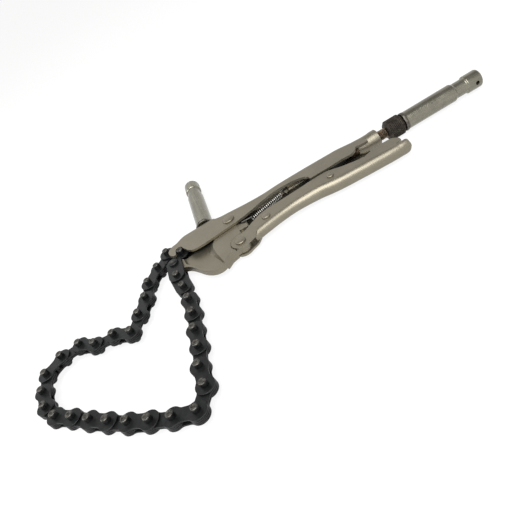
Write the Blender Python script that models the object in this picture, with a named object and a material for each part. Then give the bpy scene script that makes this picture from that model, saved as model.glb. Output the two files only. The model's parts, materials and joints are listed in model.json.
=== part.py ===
"""Chain clamp: locking pliers whose jaws close a loop of extended-pin plate chain.

The tool lies on its side. +Z is up, +X runs along the handle to the adjusting screw and +Y runs
from the handle to the stud on the jaw. The origin is under the jaw pivot, on the surface that the
tool lies on. Lengths are in metres.
"""

import math

import bmesh
import bpy
import numpy as np
from mathutils import Matrix, Vector

# Plan of the pliers. The tables of shares give x as a share of HANDLE_REACH and y as one of PIVOT_DROP.
HANDLE_REACH = 0.150
PIVOT_DROP = 0.0349

LEVER_PIVOT_SHARES = (0.0013, -1.0)
TOGGLE_PIVOT_SHARES = (0.1940, -0.6504)
RELEASE_PIVOT_SHARES = (0.6167, -0.6390)
SCREW_LINE_SHARE = 0.0315
CHAIN_ANCHOR_SHARES = (-0.3963, -0.3266)
CHAIN_HOOK_SHARES = (-0.3367, -0.0258)
SPRING_EAR_SHARES = (0.0600, -0.3152)
SPRING_LUG_SHARES = (0.3800, 0.1433)
STUD_LINE_SHARE = -0.1467

# Clearances.
RUNNING_GAP = 0.0003
SEAT_GAP = 0.00015
CUT_OVERRUN = 0.002

# Fixed handle: one folded channel with its bend on the +Y side.
HANDLE_HALF_WIDTH = 0.0074
HANDLE_WALL = 0.0021
HANDLE_BEND = 0.003
BARREL_RADIUS = 0.008
BARREL_BEVEL = 0.0006
BARREL_START_SHARE = 0.86
THREAD_START_SHARE = 0.78
LUG_HALF_THICKNESS = 0.0012
LUG_RADIUS = 0.0027
# Each station: x, y of the web's outer face, y of the side plates' free edge.
HANDLE_STATION_SHARES = (
    (-0.3467, 0.3782, 0.1318), (-0.3047, 0.4957, 0.1318), (-0.2933, 0.5158, -0.2178),
    (-0.2787, 0.5301, -0.2894), (-0.262, 0.5358, -0.3582), (-0.2167, 0.5358, -0.3868),
    (-0.0867, 0.5358, -0.3438), (-0.0633, 0.4642, -0.3295), (-0.0267, 0.4183, -0.3152),
    (0.0333, 0.3897, -0.2837), (0.0933, 0.3524, -0.2378), (0.1333, 0.3324, -0.1891),
    (0.1693, 0.3209, -0.149), (0.208, 0.3095, -0.0888), (0.2453, 0.3066, -0.0458),
    (0.2853, 0.3152, 0.0086), (0.3553, 0.3381, 0.0315), (0.4213, 0.3438, 0.0115),
    (0.4813, 0.3438, -0.0688), (0.5173, 0.3438, -0.1891), (0.5227, 0.3438, -0.3209),
    (0.5867, 0.3381, -0.3238), (0.6553, 0.3266, -0.3266), (0.724, 0.3209, -0.3095),
    (0.788, 0.3037, -0.3295), (0.8293, 0.2865, -0.2407), (0.846, 0.2779, -0.149),
    (0.8733, 0.2665, -0.1777), (0.92, 0.2464, -0.1948),
)
# Outline of the plates' front end, from the hook's far side round the tooth.
TOOTH_SHARES = (
    (-0.37, 0.2636), (-0.3907, 0.2006), (-0.4027, 0.1203), (-0.4027, 0), (-0.3953, -0.0831),
    (-0.384, -0.149), (-0.3733, -0.1691), (-0.364, -0.149),
)
PLATE_ROOT_SHARES = (
    (-0.2867, -0.2493), (-0.2867, 0.3725), (-0.3467, 0.2808),
)

# Lower jaw: a flat forging with a pocket in each side.
JAW_HALF_THICKNESS = 0.00275
JAW_POCKET_DEPTH = 0.0018
JAW_POCKET_DRAFT_SHARE = 0.84
JAW_TIP_RADIUS = 0.005
JAW_BOSS_RADIUS = 0.0088
JAW_HEEL_RADIUS = 0.007
JAW_EAR_RADIUS = 0.004
JAW_BELLY_SHARES = (
    (-0.3733, -0.5731), (-0.3527, -0.6304), (-0.3267, -0.702), (-0.3067, -0.8023), (-0.2833, -0.9599),
    (-0.26, -1.1318), (-0.24, -1.2464), (-0.2167, -1.341), (-0.1913, -1.404), (-0.1613, -1.4269),
    (-0.1353, -1.3926), (-0.11, -1.298), (-0.0907, -1.2264), (-0.06, -1.1862),
)
JAW_NECK_SHARES = (
    (0.0413, -0.6877), (0.0467, -0.5158),
)
JAW_CREST_SHARES = (
    (-0.09, 0.0344), (-0.1467, -0.1003), (-0.2133, -0.1948), (-0.28, -0.2636), (-0.32, -0.298),
    (-0.35, -0.2865),
)
JAW_POCKET_SHARES = (
    (-0.3467, 0.0287), (-0.1, 0.0573), (-0.1, -0.7163), (-0.1133, -1.2178), (-0.1413, -1.3295),
    (-0.1627, -1.3553), (-0.1853, -1.3381), (-0.2067, -1.2894), (-0.2293, -1.2092), (-0.2487, -1.1089),
    (-0.2727, -0.9456), (-0.3, -0.7393), (-0.3307, -0.5903), (-0.3367, -0.4011),
)
JAW_BLOCK_GAP = 0.0005
JAW_BLOCK_TOP_SHARES = (
    (-0.08, -0.086), (-0.1133, -0.2923), (-0.1407, -0.4269), (-0.1527, -0.6246), (-0.146, -0.9513),
    (-0.1327, -1.2436), (-0.12, -1.3295), (-0.0907, -1.2235), (-0.06, -1.1834),
)
JAW_BLOCK_FOOT_SHARES = (
    (-0.1067, -0.043), (-0.1567, -0.2436), (-0.1867, -0.3868), (-0.1973, -0.5788), (-0.1707, -0.8424),
    (-0.1467, -1.1175), (-0.126, -1.3496), (-0.0907, -1.2235), (-0.06, -1.1834),
)
JAW_BLOCK_BACK_SHARES = (
    (0.0267, -0.7249), (0.0267, -0.212), (-0.0133, 0),
)

# Lever handle: a folded channel with its bend on the -Y side, narrow at the front.
LEVER_HALF_WIDTH = 0.0064
LEVER_WALL = 0.002
LEVER_BEND = 0.0034
LEVER_NOSE_RADIUS = 0.0086
FORK_GAP = 0.0004
# Each station: x, y of the web's outer face, y of the free edge, share of the flare from fork to rear.
LEVER_STATION_SHARES = (
    (0.0833, -1.0774, -0.6447, 0), (0.1333, -1.0172, -0.5186, 0), (0.1867, -0.9628, -0.4183, 0),
    (0.2433, -0.9112, -0.3897, 0), (0.3113, -0.8653, -0.3782, 0.04), (0.3733, -0.8424, -0.384, 0.3),
    (0.4467, -0.8539, -0.384, 0.6), (0.518, -0.8768, -0.3725, 0.87), (0.5667, -0.9226, -0.3725, 1),
    (0.6133, -0.9628, -0.3782, 1), (0.6533, -0.9885, -0.4413, 1), (0.7, -1.0086, -0.5387, 1),
    (0.7533, -1.0258, -0.6132, 1), (0.8107, -1.0487, -0.6877, 1), (0.8533, -1.0602, -0.745, 1),
    (0.9, -1.0716, -0.7966, 1), (0.9533, -1.086, -0.8539, 1), (0.9933, -1.0888, -0.9169, 1),
    (1.03, -1.0831, -0.9799, 1), (1.06, -1.0659, -1, 1), (1.0773, -1.0372, -0.9742, 1),
)
FORK_UPPER_SHARES = (
    (0.05, -0.7393), (0.0833, -0.6418), (0.1133, -0.5587),
)
FORK_LOWER_SHARES = (
    (0.1133, -0.9599), (0.0833, -1.106),
)

# Toggle link and release lever, inside the channels.
TOGGLE_HUB_RADIUS = 0.006
TOGGLE_WAIST = 0.0046
TOGGLE_NOSE_RADIUS = 0.0036
TOGGLE_REACH_SHARE = 0.5927
TOGGLE_WAIST_SHARES = (0.2, 0.8)
RELEASE_HUB_RADIUS = 0.0042
RELEASE_HALF_THICKNESS = 0.0026
RELEASE_TAB_THICKNESS = 0.0016
RELEASE_TAB_BEND = 0.0018
RELEASE_BODY_SHARES = (
    (0.5013, -0.5272), (0.508, -0.4756), (0.5227, -0.4642), (0.5867, -0.5215), (0.6467, -0.5244),
    (0.7333, -0.5731), (0.8067, -0.6304), (0.8467, -0.6476), (0.8467, -0.7908), (0.8067, -0.7794),
    (0.72, -0.7622), (0.6467, -0.7564), (0.5867, -0.7536), (0.5333, -0.659),
)
# Each station of the thumb tab: x, y of its crest, y of its sides' free edge.
RELEASE_TAB_SHARES = (
    (0.82, -0.6705, -0.8023), (0.8533, -0.6132, -0.8252), (0.89, -0.5444, -0.8424),
    (0.9267, -0.4871, -0.8539), (0.96, -0.4499, -0.8596), (0.9933, -0.4269, -0.8539),
    (1.02, -0.4327, -0.8252), (1.04, -0.4871, -0.7851), (1.0547, -0.5903, -0.7393),
)

# Rivets: shank and head radii.
JAW_RIVET_RADIUS = 0.004
JAW_RIVET_HEAD = 0.0054
LEVER_RIVET_RADIUS = 0.003
LEVER_RIVET_HEAD = 0.0047
LINK_RIVET_RADIUS = 0.0025
LINK_RIVET_HEAD = 0.0039
RELEASE_RIVET_RADIUS = 0.0018
RELEASE_RIVET_HEAD = 0.003
RIVET_HEAD_HEIGHT = 0.0016
JAW_RIVET_RISE = 0.00185
RIVET_HEAD_BEVEL = 0.0006
ANCHOR_RIVET_RADIUS = 0.003
ANCHOR_RIVET_HEAD = 0.0044
ANCHOR_RIVET_HALF_LENGTH = 0.0073

# Grip studs: 5/8 in round bar.
STUD_RADIUS = 0.0079375
JAW_STUD_LENGTH = 0.087
JAW_STUD_LEAN_DEG = 3
END_STUD_LENGTH = 0.077
STUD_TIP_BEVEL = 0.0018
STUD_TIP_SHARES = (0.3, 0.7, 0.6)
STUD_NECK_RADIUS = 0.0068
STUD_NECK_LENGTH = 0.011
STUD_HEAD_LENGTH = 0.0145
STUD_HOLE_RADIUS = 0.0018
STUD_HOLE_SHARE = 0.4
WELD_HEIGHT = 0.0032
WELD_SHOULDER_SHARE = 0.45
WELD_SPREAD = 0.0011
END_WELD_SPREAD = 0.0008

# Adjusting screw.
SCREW_RADIUS = 0.00475
SCREW_TIP_GAP = 0.0033
SCREW_TIP_BEVEL = 0.001
SCREW_SPIGOT_RADIUS = 0.003
SCREW_SPIGOT_LENGTH = 0.009
EXPOSED_THREAD = 0.0085
KNOB_RADIUS = 0.00925
KNOB_LENGTH = 0.0165
KNOB_BEVEL = 0.0012

# Return spring.
WIRE_RADIUS = 0.00055
COIL_RADIUS = 0.0022
COIL_CURLS = 18
COIL_POINTS = 9
COIL_START_SHARE = 0.2
COIL_END_SHARE = 0.87
SPRING_HOLE_RADIUS = 0.0012

# Chain: plates of two widths on extended pins.
LINK_COUNT = 30
LINK_PITCH = 0.0175
PLATE_THICKNESS = 0.0013
PLATE_END_RADIUS = 0.0073
PLATE_WAIST = 0.0052
PLATE_WAIST_SHARES = (0.38, 0.62)
INNER_HALF_SPACE = 0.0002
BUSH_WALL = 0.0012
PIN_RADIUS = 0.003
PIN_HALF_LENGTH = 0.0076
PIN_TIP_BEVEL = 0.0006
HOOK_GAP = 0.0006
LINK_HEADINGS_DEG = (
    -92, -82, -86, -91, -97, -93, -101, -89, -123, -200,
    -208, -210, -216, -218, -220, -217, -239, -261, -277, -323,
    -353, -395, -366, -388, -301, -299, -288, -310, -312, -402,
)

MERGE_DISTANCE = 1e-7
SHARP_DEG = 50
BEND_DEGS = (0, 45, 90)
ROUND_SIDES = 26
RIVET_SIDES = 20
PIN_SIDES = 8
PLATE_END_STEPS = 6
HOLE_SIDES = 10
WIRE_BEVEL_STEPS = 1

# Derived heights across the stack, from the middle plane outwards.
HANDLE_INNER = HANDLE_HALF_WIDTH - HANDLE_WALL
BOSS_HALF_HEIGHT = HANDLE_INNER - RUNNING_GAP
FORK_INNER = JAW_HALF_THICKNESS + FORK_GAP
FORK_OUTER = FORK_INNER + LEVER_WALL
LEVER_INNER = LEVER_HALF_WIDTH - LEVER_WALL
TOGGLE_HALF_THICKNESS = FORK_INNER - 2 * RUNNING_GAP
RELEASE_HUB_HALF = LEVER_INNER - RUNNING_GAP
INNER_OUTSIDE = INNER_HALF_SPACE + PLATE_THICKNESS
OUTER_INSIDE = INNER_OUTSIDE + RUNNING_GAP
OUTER_OUTSIDE = OUTER_INSIDE + PLATE_THICKNESS
ANCHOR_INSIDE = max(OUTER_OUTSIDE, JAW_HALF_THICKNESS) + RUNNING_GAP
ANCHOR_OUTSIDE = ANCHOR_INSIDE + PLATE_THICKNESS
BORE_RADIUS = (PIN_RADIUS + RUNNING_GAP) / math.cos(math.pi / PIN_SIDES)
JAW_RIVET_HALF_LENGTH = HANDLE_HALF_WIDTH + JAW_RIVET_RISE
MIDDLE_HEIGHT = max(KNOB_RADIUS, JAW_RIVET_HALF_LENGTH)

STEEL = ("nickel_steel", (0.30, 0.265, 0.215), 0.42, 0.85)
ZINC = ("zinc_steel", (0.27, 0.26, 0.225), 0.45, 0.85)
BLACK_STEEL = ("black_oxide_steel", (0.028, 0.028, 0.026), 0.38, 0.6)
DARK_STEEL = ("dark_steel", (0.05, 0.04, 0.032), 0.4, 0.7)
BRIGHT_STEEL = ("bright_wire", (0.55, 0.54, 0.52), 0.3, 1.0)
WELD_STEEL = ("weld_steel", (0.22, 0.20, 0.17), 0.5, 0.8)


def placed(shares):
    """The plan point, in metres, that a pair of shares stands for."""
    return shares[0] * HANDLE_REACH, shares[1] * PIVOT_DROP


def arc(centre, radius, start_deg, end_deg, steps):
    """Points along an arc, both ends included."""
    angles = np.radians(np.linspace(start_deg, end_deg, steps + 1))
    return [(centre[0] + radius * math.cos(a), centre[1] + radius * math.sin(a)) for a in angles]


def circle(centre, radius, sides):
    """Points of a full circle, each once."""
    return arc(centre, radius, 0, 360, sides)[:-1]


def as_object(name, bm):
    """A scene object that holds the bmesh, with its faces turned out."""
    bmesh.ops.remove_doubles(bm, verts=bm.verts, dist=MERGE_DISTANCE)
    bmesh.ops.recalc_face_normals(bm, faces=bm.faces)
    mesh = bpy.data.meshes.new(name)
    bm.to_mesh(mesh)
    bm.free()
    made = bpy.data.objects.new(name, mesh)
    bpy.context.scene.collection.objects.link(made)
    return made


def prism(name, outline, low, high):
    """A flat outline in the plan, extruded from one height to another."""
    bm = bmesh.new()
    face = bm.faces.new([bm.verts.new((x, y, low)) for x, y in outline])
    raised = bmesh.ops.extrude_face_region(bm, geom=[face])["geom"]
    corners = [item for item in raised if isinstance(item, bmesh.types.BMVert)]
    bmesh.ops.translate(bm, verts=corners, vec=(0, 0, high - low))
    return as_object(name, bm)


def layered(name, layers):
    """Outlines with as many points each, at rising heights, skinned into one solid."""
    bm = bmesh.new()
    rings = [[bm.verts.new((x, y, height)) for x, y in outline] for outline, height in layers]
    for ring, after in zip(rings, rings[1:]):
        for i in range(len(ring)):
            bm.faces.new((ring[i - 1], ring[i], after[i], after[i - 1]))
    bm.faces.new(rings[0])
    bm.faces.new(rings[-1])
    return as_object(name, bm)


def tapered(name, outline, floor, top, draft):
    """A pocket cutter whose floor is its mouth drawn in towards the middle."""
    middle = np.mean(outline, axis=0)
    bm = bmesh.new()
    mouth = [bm.verts.new((x, y, top)) for x, y in outline]
    drawn = [middle + draft * (np.array(point) - middle) for point in outline]
    base = [bm.verts.new((*point, floor)) for point in drawn]
    bm.faces.new(mouth)
    bm.faces.new(base)
    for i in range(len(mouth)):
        bm.faces.new((mouth[i - 1], mouth[i], base[i], base[i - 1]))
    return as_object(name, bm)


def turned(name, profile, sides, turn=Matrix.Identity(4)):
    """A profile of (distance along the axis, radius) spun round +Z, then placed by a matrix."""
    bm = bmesh.new()
    points = [bm.verts.new((radius, 0, along)) for along, radius in profile]
    edges = [bm.edges.new(pair) for pair in zip(points, points[1:])]
    if profile[0] == profile[-1]:
        bm.verts.remove(points.pop())
        edges = list(bm.edges) + [bm.edges.new((points[-1], points[0]))]
    bmesh.ops.spin(
        bm, geom=points + edges, cent=(0, 0, 0), axis=(0, 0, 1), angle=2 * math.pi, steps=sides
    )
    bm.transform(turn)
    return as_object(name, bm)


def along_x(start, y):
    """Turns +Z into +X and moves the axis to a height in the plan."""
    return Matrix.Translation((start, y, 0)) @ Matrix.Rotation(math.pi / 2, 4, "Y")


def along_y(x, start):
    """Turns +Z into +Y and moves the axis to a place along the handle."""
    return Matrix.Translation((x, start, 0)) @ Matrix.Rotation(-math.pi / 2, 4, "X")


def joined(base, operation, tools):
    """Applies one Boolean after another to the base and removes the tools."""
    for tool in tools:
        step = base.modifiers.new(operation, "BOOLEAN")
        step.operation = operation
        step.solver = "EXACT"
        step.object = tool
    bpy.context.view_layer.update()
    graph = bpy.context.evaluated_depsgraph_get()
    result = bpy.data.meshes.new_from_object(base.evaluated_get(graph))
    base.modifiers.clear()
    base.data = result
    for tool in tools:
        bpy.data.objects.remove(tool, do_unlink=True)
    return base


def bored(base, holes, half_depth):
    """Cuts round holes through the base, each given as centre, radius and sides."""
    tools = [prism("hole", circle(*hole), -half_depth, half_depth) for hole in holes]
    return joined(base, "DIFFERENCE", tools)


def channel(name, stations, wall, bend, side):
    """A folded U section lofted along x, its web on the given side of the plan."""
    rings = []
    bm = bmesh.new()
    for x, back, edge, half in stations:
        inside = half - wall
        fold = [(back - side * bend * (1 - math.sin(a)), half - bend * (1 - math.cos(a)))
                for a in np.radians(BEND_DEGS)]
        outer = [(edge, half)] + fold
        inner = [(back - side * wall, inside), (edge, inside)]
        section = outer + [(y, -z) for y, z in reversed(outer)]
        section += [(y, -z) for y, z in reversed(inner)] + inner
        rings.append([bm.verts.new((x, y, z)) for y, z in section])
    for ring, after in zip(rings, rings[1:]):
        for i in range(len(ring)):
            bm.faces.new((ring[i - 1], ring[i], after[i], after[i - 1]))
    bm.faces.new(rings[0])
    bm.faces.new(rings[-1])
    return as_object(name, bm)


def finished(made, name, finish, pivot=(0, 0)):
    """Names and colours a piece, lifts it off the floor and puts its origin on its axis."""
    made.name = name
    made.data.name = name
    at = Vector((pivot[0], pivot[1], 0))
    made.data.transform(Matrix.Translation(-at))
    made.location = at + Vector((0, 0, MIDDLE_HEIGHT))
    made.data.materials.clear()
    made.data.materials.append(material_of(name, finish))
    made.data.shade_smooth()
    made.data.set_sharp_from_angle(angle=math.radians(SHARP_DEG))
    return made


def material_of(name, finish):
    """A Principled material of its own for the named piece."""
    kind, colour, roughness, metallic = finish
    made = bpy.data.materials.new(f"{name}_{kind}")
    made.use_nodes = True
    made.diffuse_color = (*colour, 1)
    surface = made.node_tree.nodes["Principled BSDF"]
    surface.inputs["Base Color"].default_value = (*colour, 1)
    surface.inputs["Roughness"].default_value = roughness
    surface.inputs["Metallic"].default_value = metallic
    return made


def rivet(name, centre, radius, head, seat, half_length, finish):
    """A shank between two bevelled heads that start at the seat height."""
    bevel = RIVET_HEAD_BEVEL
    upper = [
        (seat, radius), (seat, head), (half_length - bevel, head),
        (half_length, head - bevel), (half_length, 0),
    ]
    profile = [(-along, r) for along, r in reversed(upper)] + upper
    made = turned(name, profile, RIVET_SIDES, Matrix.Translation((*centre, 0)))
    return finished(made, name, finish, centre)


def pin_tool(centre):
    """One extended chain pin with bevelled tips."""
    profile = [
        (-PIN_HALF_LENGTH, 0), (-PIN_HALF_LENGTH, PIN_RADIUS - PIN_TIP_BEVEL),
        (-PIN_HALF_LENGTH + PIN_TIP_BEVEL, PIN_RADIUS), (PIN_HALF_LENGTH - PIN_TIP_BEVEL, PIN_RADIUS),
        (PIN_HALF_LENGTH, PIN_RADIUS - PIN_TIP_BEVEL), (PIN_HALF_LENGTH, 0),
    ]
    return turned("pin", profile, PIN_SIDES, Matrix.Translation((*centre, 0)))


def plate_outline(waisted):
    """A link plate from its first pin at the origin to its second along +X."""
    spread = 60 if waisted else 90
    near = arc((0, 0), PLATE_END_RADIUS, spread, 360 - spread, PLATE_END_STEPS)
    far = arc((LINK_PITCH, 0), PLATE_END_RADIUS, spread - 180, 180 - spread, PLATE_END_STEPS)
    if not waisted:
        return near + far
    under = [(LINK_PITCH * share, -PLATE_WAIST) for share in PLATE_WAIST_SHARES]
    over = [(LINK_PITCH * share, PLATE_WAIST) for share in reversed(PLATE_WAIST_SHARES)]
    return near + under + far + over


def plate_pair(inside, outside, waisted):
    """Two equal plates, one on each side of the middle plane."""
    outline = plate_outline(waisted)
    return prism("plate", outline, inside, outside), prism("plate", outline, -outside, -inside)


def link_mesh(kind):
    """The mesh of one kind of link: anchor, straight, inner or outer."""
    first, second = (0, 0), (LINK_PITCH, 0)
    if kind == "inner":
        upper, lower = plate_pair(INNER_HALF_SPACE, INNER_OUTSIDE, True)
        wide = BORE_RADIUS + BUSH_WALL
        bushes = [prism("bush", circle(centre, wide, PIN_SIDES), -INNER_OUTSIDE, INNER_OUTSIDE)
                  for centre in (first, second)]
        made = joined(upper, "UNION", [lower] + bushes)
        holes = [(centre, BORE_RADIUS, PIN_SIDES) for centre in (first, second)]
        return bored(made, holes, PIN_HALF_LENGTH).data
    if kind == "anchor":
        upper, lower = plate_pair(ANCHOR_INSIDE, ANCHOR_OUTSIDE, False)
        hole = (ANCHOR_RIVET_RADIUS + RUNNING_GAP) / math.cos(math.pi / RIVET_SIDES)
        made = joined(upper, "UNION", [lower, pin_tool(second)])
        return bored(made, [(first, hole, RIVET_SIDES)], PIN_HALF_LENGTH).data
    upper, lower = plate_pair(OUTER_INSIDE, OUTER_OUTSIDE, kind == "outer")
    if kind == "straight":
        made = joined(upper, "UNION", [lower, pin_tool(second)])
        return bored(made, [(first, BORE_RADIUS, PIN_SIDES)], PIN_HALF_LENGTH).data
    return joined(upper, "UNION", [lower, pin_tool(first), pin_tool(second)]).data


def closed_headings(start, end):
    """Link headings in radians, moved from the table just enough to put the last pin in the hook."""
    headings = np.radians(np.array(LINK_HEADINGS_DEG, float))
    for _ in range(12):
        reach = LINK_PITCH * np.array([np.cos(headings).sum(), np.sin(headings).sum()])
        miss = np.array(end) - np.array(start) - reach
        slope = LINK_PITCH * np.array([-np.sin(headings), np.cos(headings)])
        headings = headings + np.linalg.pinv(slope) @ miss
    return headings


def build_chain():
    """Thirty links from the jaw's tip round to the hook; odd ones are inner links after the first pair."""
    start, end = placed(CHAIN_ANCHOR_SHARES), placed(CHAIN_HOOK_SHARES)
    meshes = {kind: link_mesh(kind) for kind in ("anchor", "straight", "inner", "outer")}
    for made in list(bpy.data.objects):
        bpy.data.objects.remove(made, do_unlink=True)
    place = np.array(start)
    for index, heading in enumerate(closed_headings(start, end)):
        kind = {0: "anchor", 1: "straight"}.get(index, "inner" if index % 2 == 0 else "outer")
        name = f"chain_link_{index + 1:02d}"
        made = bpy.data.objects.new(name, meshes[kind].copy())
        bpy.context.scene.collection.objects.link(made)
        finished(made, name, BLACK_STEEL)
        made.location = (*place, MIDDLE_HEIGHT)
        made.rotation_euler.z = heading
        print(f"{name} pin {1000 * place[0]:.2f} {1000 * place[1]:.2f} heading {math.degrees(heading):.2f}")
        place = place + LINK_PITCH * np.array([math.cos(heading), math.sin(heading)])
    print(f"last pin {1000 * place[0]:.3f} {1000 * place[1]:.3f}")


def build_handle():
    """The folded fixed handle with its hooked front plates and the threaded barrel at its end."""
    stations = [(x * HANDLE_REACH, web * PIVOT_DROP, edge * PIVOT_DROP, HANDLE_HALF_WIDTH)
                for x, web, edge in HANDLE_STATION_SHARES]
    body = channel("fixed_handle", stations, HANDLE_WALL, HANDLE_BEND, 1)
    hook = placed(CHAIN_HOOK_SHARES)
    notch = arc(hook, PIN_RADIUS + HOOK_GAP, 195, -10, 8)
    front = [placed(point) for point in TOOTH_SHARES] + notch
    front += [placed(point) for point in PLATE_ROOT_SHARES]
    screw_y = SCREW_LINE_SHARE * PIVOT_DROP
    barrel_start = BARREL_START_SHARE * HANDLE_REACH
    barrel_length = HANDLE_REACH - barrel_start
    thread_start = THREAD_START_SHARE * HANDLE_REACH
    thread_end = HANDLE_REACH - thread_start + CUT_OVERRUN
    barrel = turned(
        "barrel",
        [(0, 0), (0, BARREL_RADIUS), (barrel_length - BARREL_BEVEL, BARREL_RADIUS),
         (barrel_length, BARREL_RADIUS - BARREL_BEVEL), (barrel_length, 0)],
        ROUND_SIDES, along_x(barrel_start, screw_y),
    )
    eye = placed(SPRING_LUG_SHARES)
    web_y = np.interp(eye[0], [x for x, *_ in stations], [web for _, web, *_ in stations])
    lug = prism(
        "lug",
        [(eye[0] + LUG_RADIUS, web_y - HANDLE_WALL / 2), (eye[0] - LUG_RADIUS, web_y - HANDLE_WALL / 2)]
        + arc(eye, LUG_RADIUS, 180, 360, 8),
        -LUG_HALF_THICKNESS, LUG_HALF_THICKNESS,
    )
    plates = [prism("front", front, HANDLE_INNER, HANDLE_HALF_WIDTH),
              prism("front", front, -HANDLE_HALF_WIDTH, -HANDLE_INNER)]
    bored(lug, [(eye, SPRING_HOLE_RADIUS, HOLE_SIDES)], LUG_HALF_THICKNESS + CUT_OVERRUN)
    joined(body, "UNION", plates + [barrel, lug])
    bored(body, [((0, 0), JAW_RIVET_RADIUS + SEAT_GAP, RIVET_SIDES)], HANDLE_HALF_WIDTH + CUT_OVERRUN)
    thread = turned(
        "thread",
        [(0, 0), (0, SCREW_RADIUS + RUNNING_GAP),
         (thread_end, SCREW_RADIUS + RUNNING_GAP), (thread_end, 0)],
        RIVET_SIDES, along_x(thread_start, screw_y),
    )
    joined(body, "DIFFERENCE", [thread])
    finished(body, "fixed_handle", STEEL)
    rivet("jaw_pivot_rivet", (0, 0), JAW_RIVET_RADIUS, JAW_RIVET_HEAD, HANDLE_HALF_WIDTH + SEAT_GAP,
          JAW_RIVET_HALF_LENGTH, STEEL)


def stud_profile(length):
    """A round stud with a turned neck behind its rounded head."""
    tip = length - STUD_TIP_BEVEL
    head = length - STUD_HEAD_LENGTH
    neck = head - STUD_NECK_LENGTH
    step = STUD_RADIUS - STUD_NECK_RADIUS
    near, far, flat = STUD_TIP_SHARES
    return [
        (0, 0), (0, STUD_RADIUS), (neck - step, STUD_RADIUS), (neck, STUD_NECK_RADIUS),
        (head, STUD_NECK_RADIUS), (head + step, STUD_RADIUS), (tip, STUD_RADIUS),
        (length - STUD_TIP_BEVEL * near, STUD_RADIUS - STUD_TIP_BEVEL * far), (length, STUD_RADIUS * flat),
        (length, 0),
    ]


def stud(name, length, turn, hole_turn, pivot):
    """A grip stud with a cross hole through its head, turned from the stud's axis by the given matrix."""
    made = turned(name, stud_profile(length), ROUND_SIDES, turn)
    reach = STUD_RADIUS + CUT_OVERRUN
    hole = [(-reach, 0), (-reach, STUD_HOLE_RADIUS), (reach, STUD_HOLE_RADIUS), (reach, 0)]
    across = turn @ Matrix.Translation((0, 0, length - STUD_HOLE_SHARE * STUD_HEAD_LENGTH))
    joined(made, "DIFFERENCE", [turned("hole", hole, HOLE_SIDES, across @ hole_turn)])
    return finished(made, name, ZINC, pivot)


def weld(name, spread, turn, pivot):
    """A bead of weld round the foot of a stud."""
    radius = STUD_RADIUS + SEAT_GAP
    outer = radius + spread
    profile = [(0, radius), (0, outer), (WELD_HEIGHT * WELD_SHOULDER_SHARE, outer),
               (WELD_HEIGHT, radius + spread * WELD_SHOULDER_SHARE),
               (WELD_HEIGHT, radius), (0, radius)]
    return finished(turned(name, profile, ROUND_SIDES, turn), name, WELD_STEEL, pivot)


def build_jaw_stud():
    """The stud welded to the back of the upper jaw."""
    x = STUD_LINE_SHARE * HANDLE_REACH
    top = max(web for _, web, _ in HANDLE_STATION_SHARES) * PIVOT_DROP
    lean = math.radians(JAW_STUD_LEAN_DEG)
    lift = SEAT_GAP + (STUD_RADIUS + WELD_SPREAD) * math.sin(lean)
    turn = along_y(x, top + lift) @ Matrix.Rotation(lean, 4, "Y")
    stud("jaw_stud", JAW_STUD_LENGTH, turn, Matrix.Rotation(math.pi / 2, 4, "Y"), (x, top))
    weld("jaw_stud_weld", WELD_SPREAD, turn, (x, top))


def build_lower_jaw():
    """The forged lower jaw with its pockets, bosses and spring ear."""
    tip, heel = placed(CHAIN_ANCHOR_SHARES), placed(LEVER_PIVOT_SHARES)
    ear = placed(SPRING_EAR_SHARES)
    outline = arc(tip, JAW_TIP_RADIUS, 60, 285, 9)
    outline += [placed(point) for point in JAW_BELLY_SHARES]
    outline += arc(heel, JAW_HEEL_RADIUS, 235, 380, 7)
    outline += [placed(point) for point in JAW_NECK_SHARES]
    outline += arc(ear, JAW_EAR_RADIUS, -75, 75, 6)
    outline += arc((0, 0), JAW_BOSS_RADIUS, -20, 150, 8)
    outline += [placed(point) for point in JAW_CREST_SHARES]
    body = prism("lower_jaw", outline, -JAW_HALF_THICKNESS, JAW_HALF_THICKNESS)
    pocket = [placed(point) for point in JAW_POCKET_SHARES]
    floor = JAW_HALF_THICKNESS - JAW_POCKET_DEPTH
    over = JAW_HALF_THICKNESS + CUT_OVERRUN
    joined(body, "DIFFERENCE", [tapered("pocket", pocket, floor, over, JAW_POCKET_DRAFT_SHARE),
                                tapered("pocket", pocket, -floor, -over, JAW_POCKET_DRAFT_SHARE)])
    around = [placed(point) for point in JAW_BLOCK_BACK_SHARES]
    around = arc(heel, LEVER_NOSE_RADIUS + JAW_BLOCK_GAP, 218, 97, 5) + around
    top = [placed(point) for point in JAW_BLOCK_TOP_SHARES] + around
    foot = [placed(point) for point in JAW_BLOCK_FOOT_SHARES] + around
    inner = (JAW_HALF_THICKNESS - JAW_POCKET_DEPTH) * JAW_POCKET_DRAFT_SHARE
    block = layered("block", [(top, -BOSS_HALF_HEIGHT), (foot, -inner), (foot, inner), (top, BOSS_HALF_HEIGHT)])
    joined(body, "UNION", [block, prism("boss", circle((0, 0), JAW_BOSS_RADIUS, RIVET_SIDES),
                                        -BOSS_HALF_HEIGHT, BOSS_HALF_HEIGHT)])
    bored(body, [((0, 0), JAW_RIVET_RADIUS + RUNNING_GAP, RIVET_SIDES),
                 (heel, LEVER_RIVET_RADIUS + RUNNING_GAP, RIVET_SIDES),
                 (tip, ANCHOR_RIVET_RADIUS + SEAT_GAP, RIVET_SIDES),
                 (ear, SPRING_HOLE_RADIUS, HOLE_SIDES)], BOSS_HALF_HEIGHT + CUT_OVERRUN)
    finished(body, "lower_jaw", STEEL)
    rivet("chain_anchor_rivet", tip, ANCHOR_RIVET_RADIUS, ANCHOR_RIVET_HEAD,
          ANCHOR_OUTSIDE + RUNNING_GAP, ANCHOR_RIVET_HALF_LENGTH, BLACK_STEEL)


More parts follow.
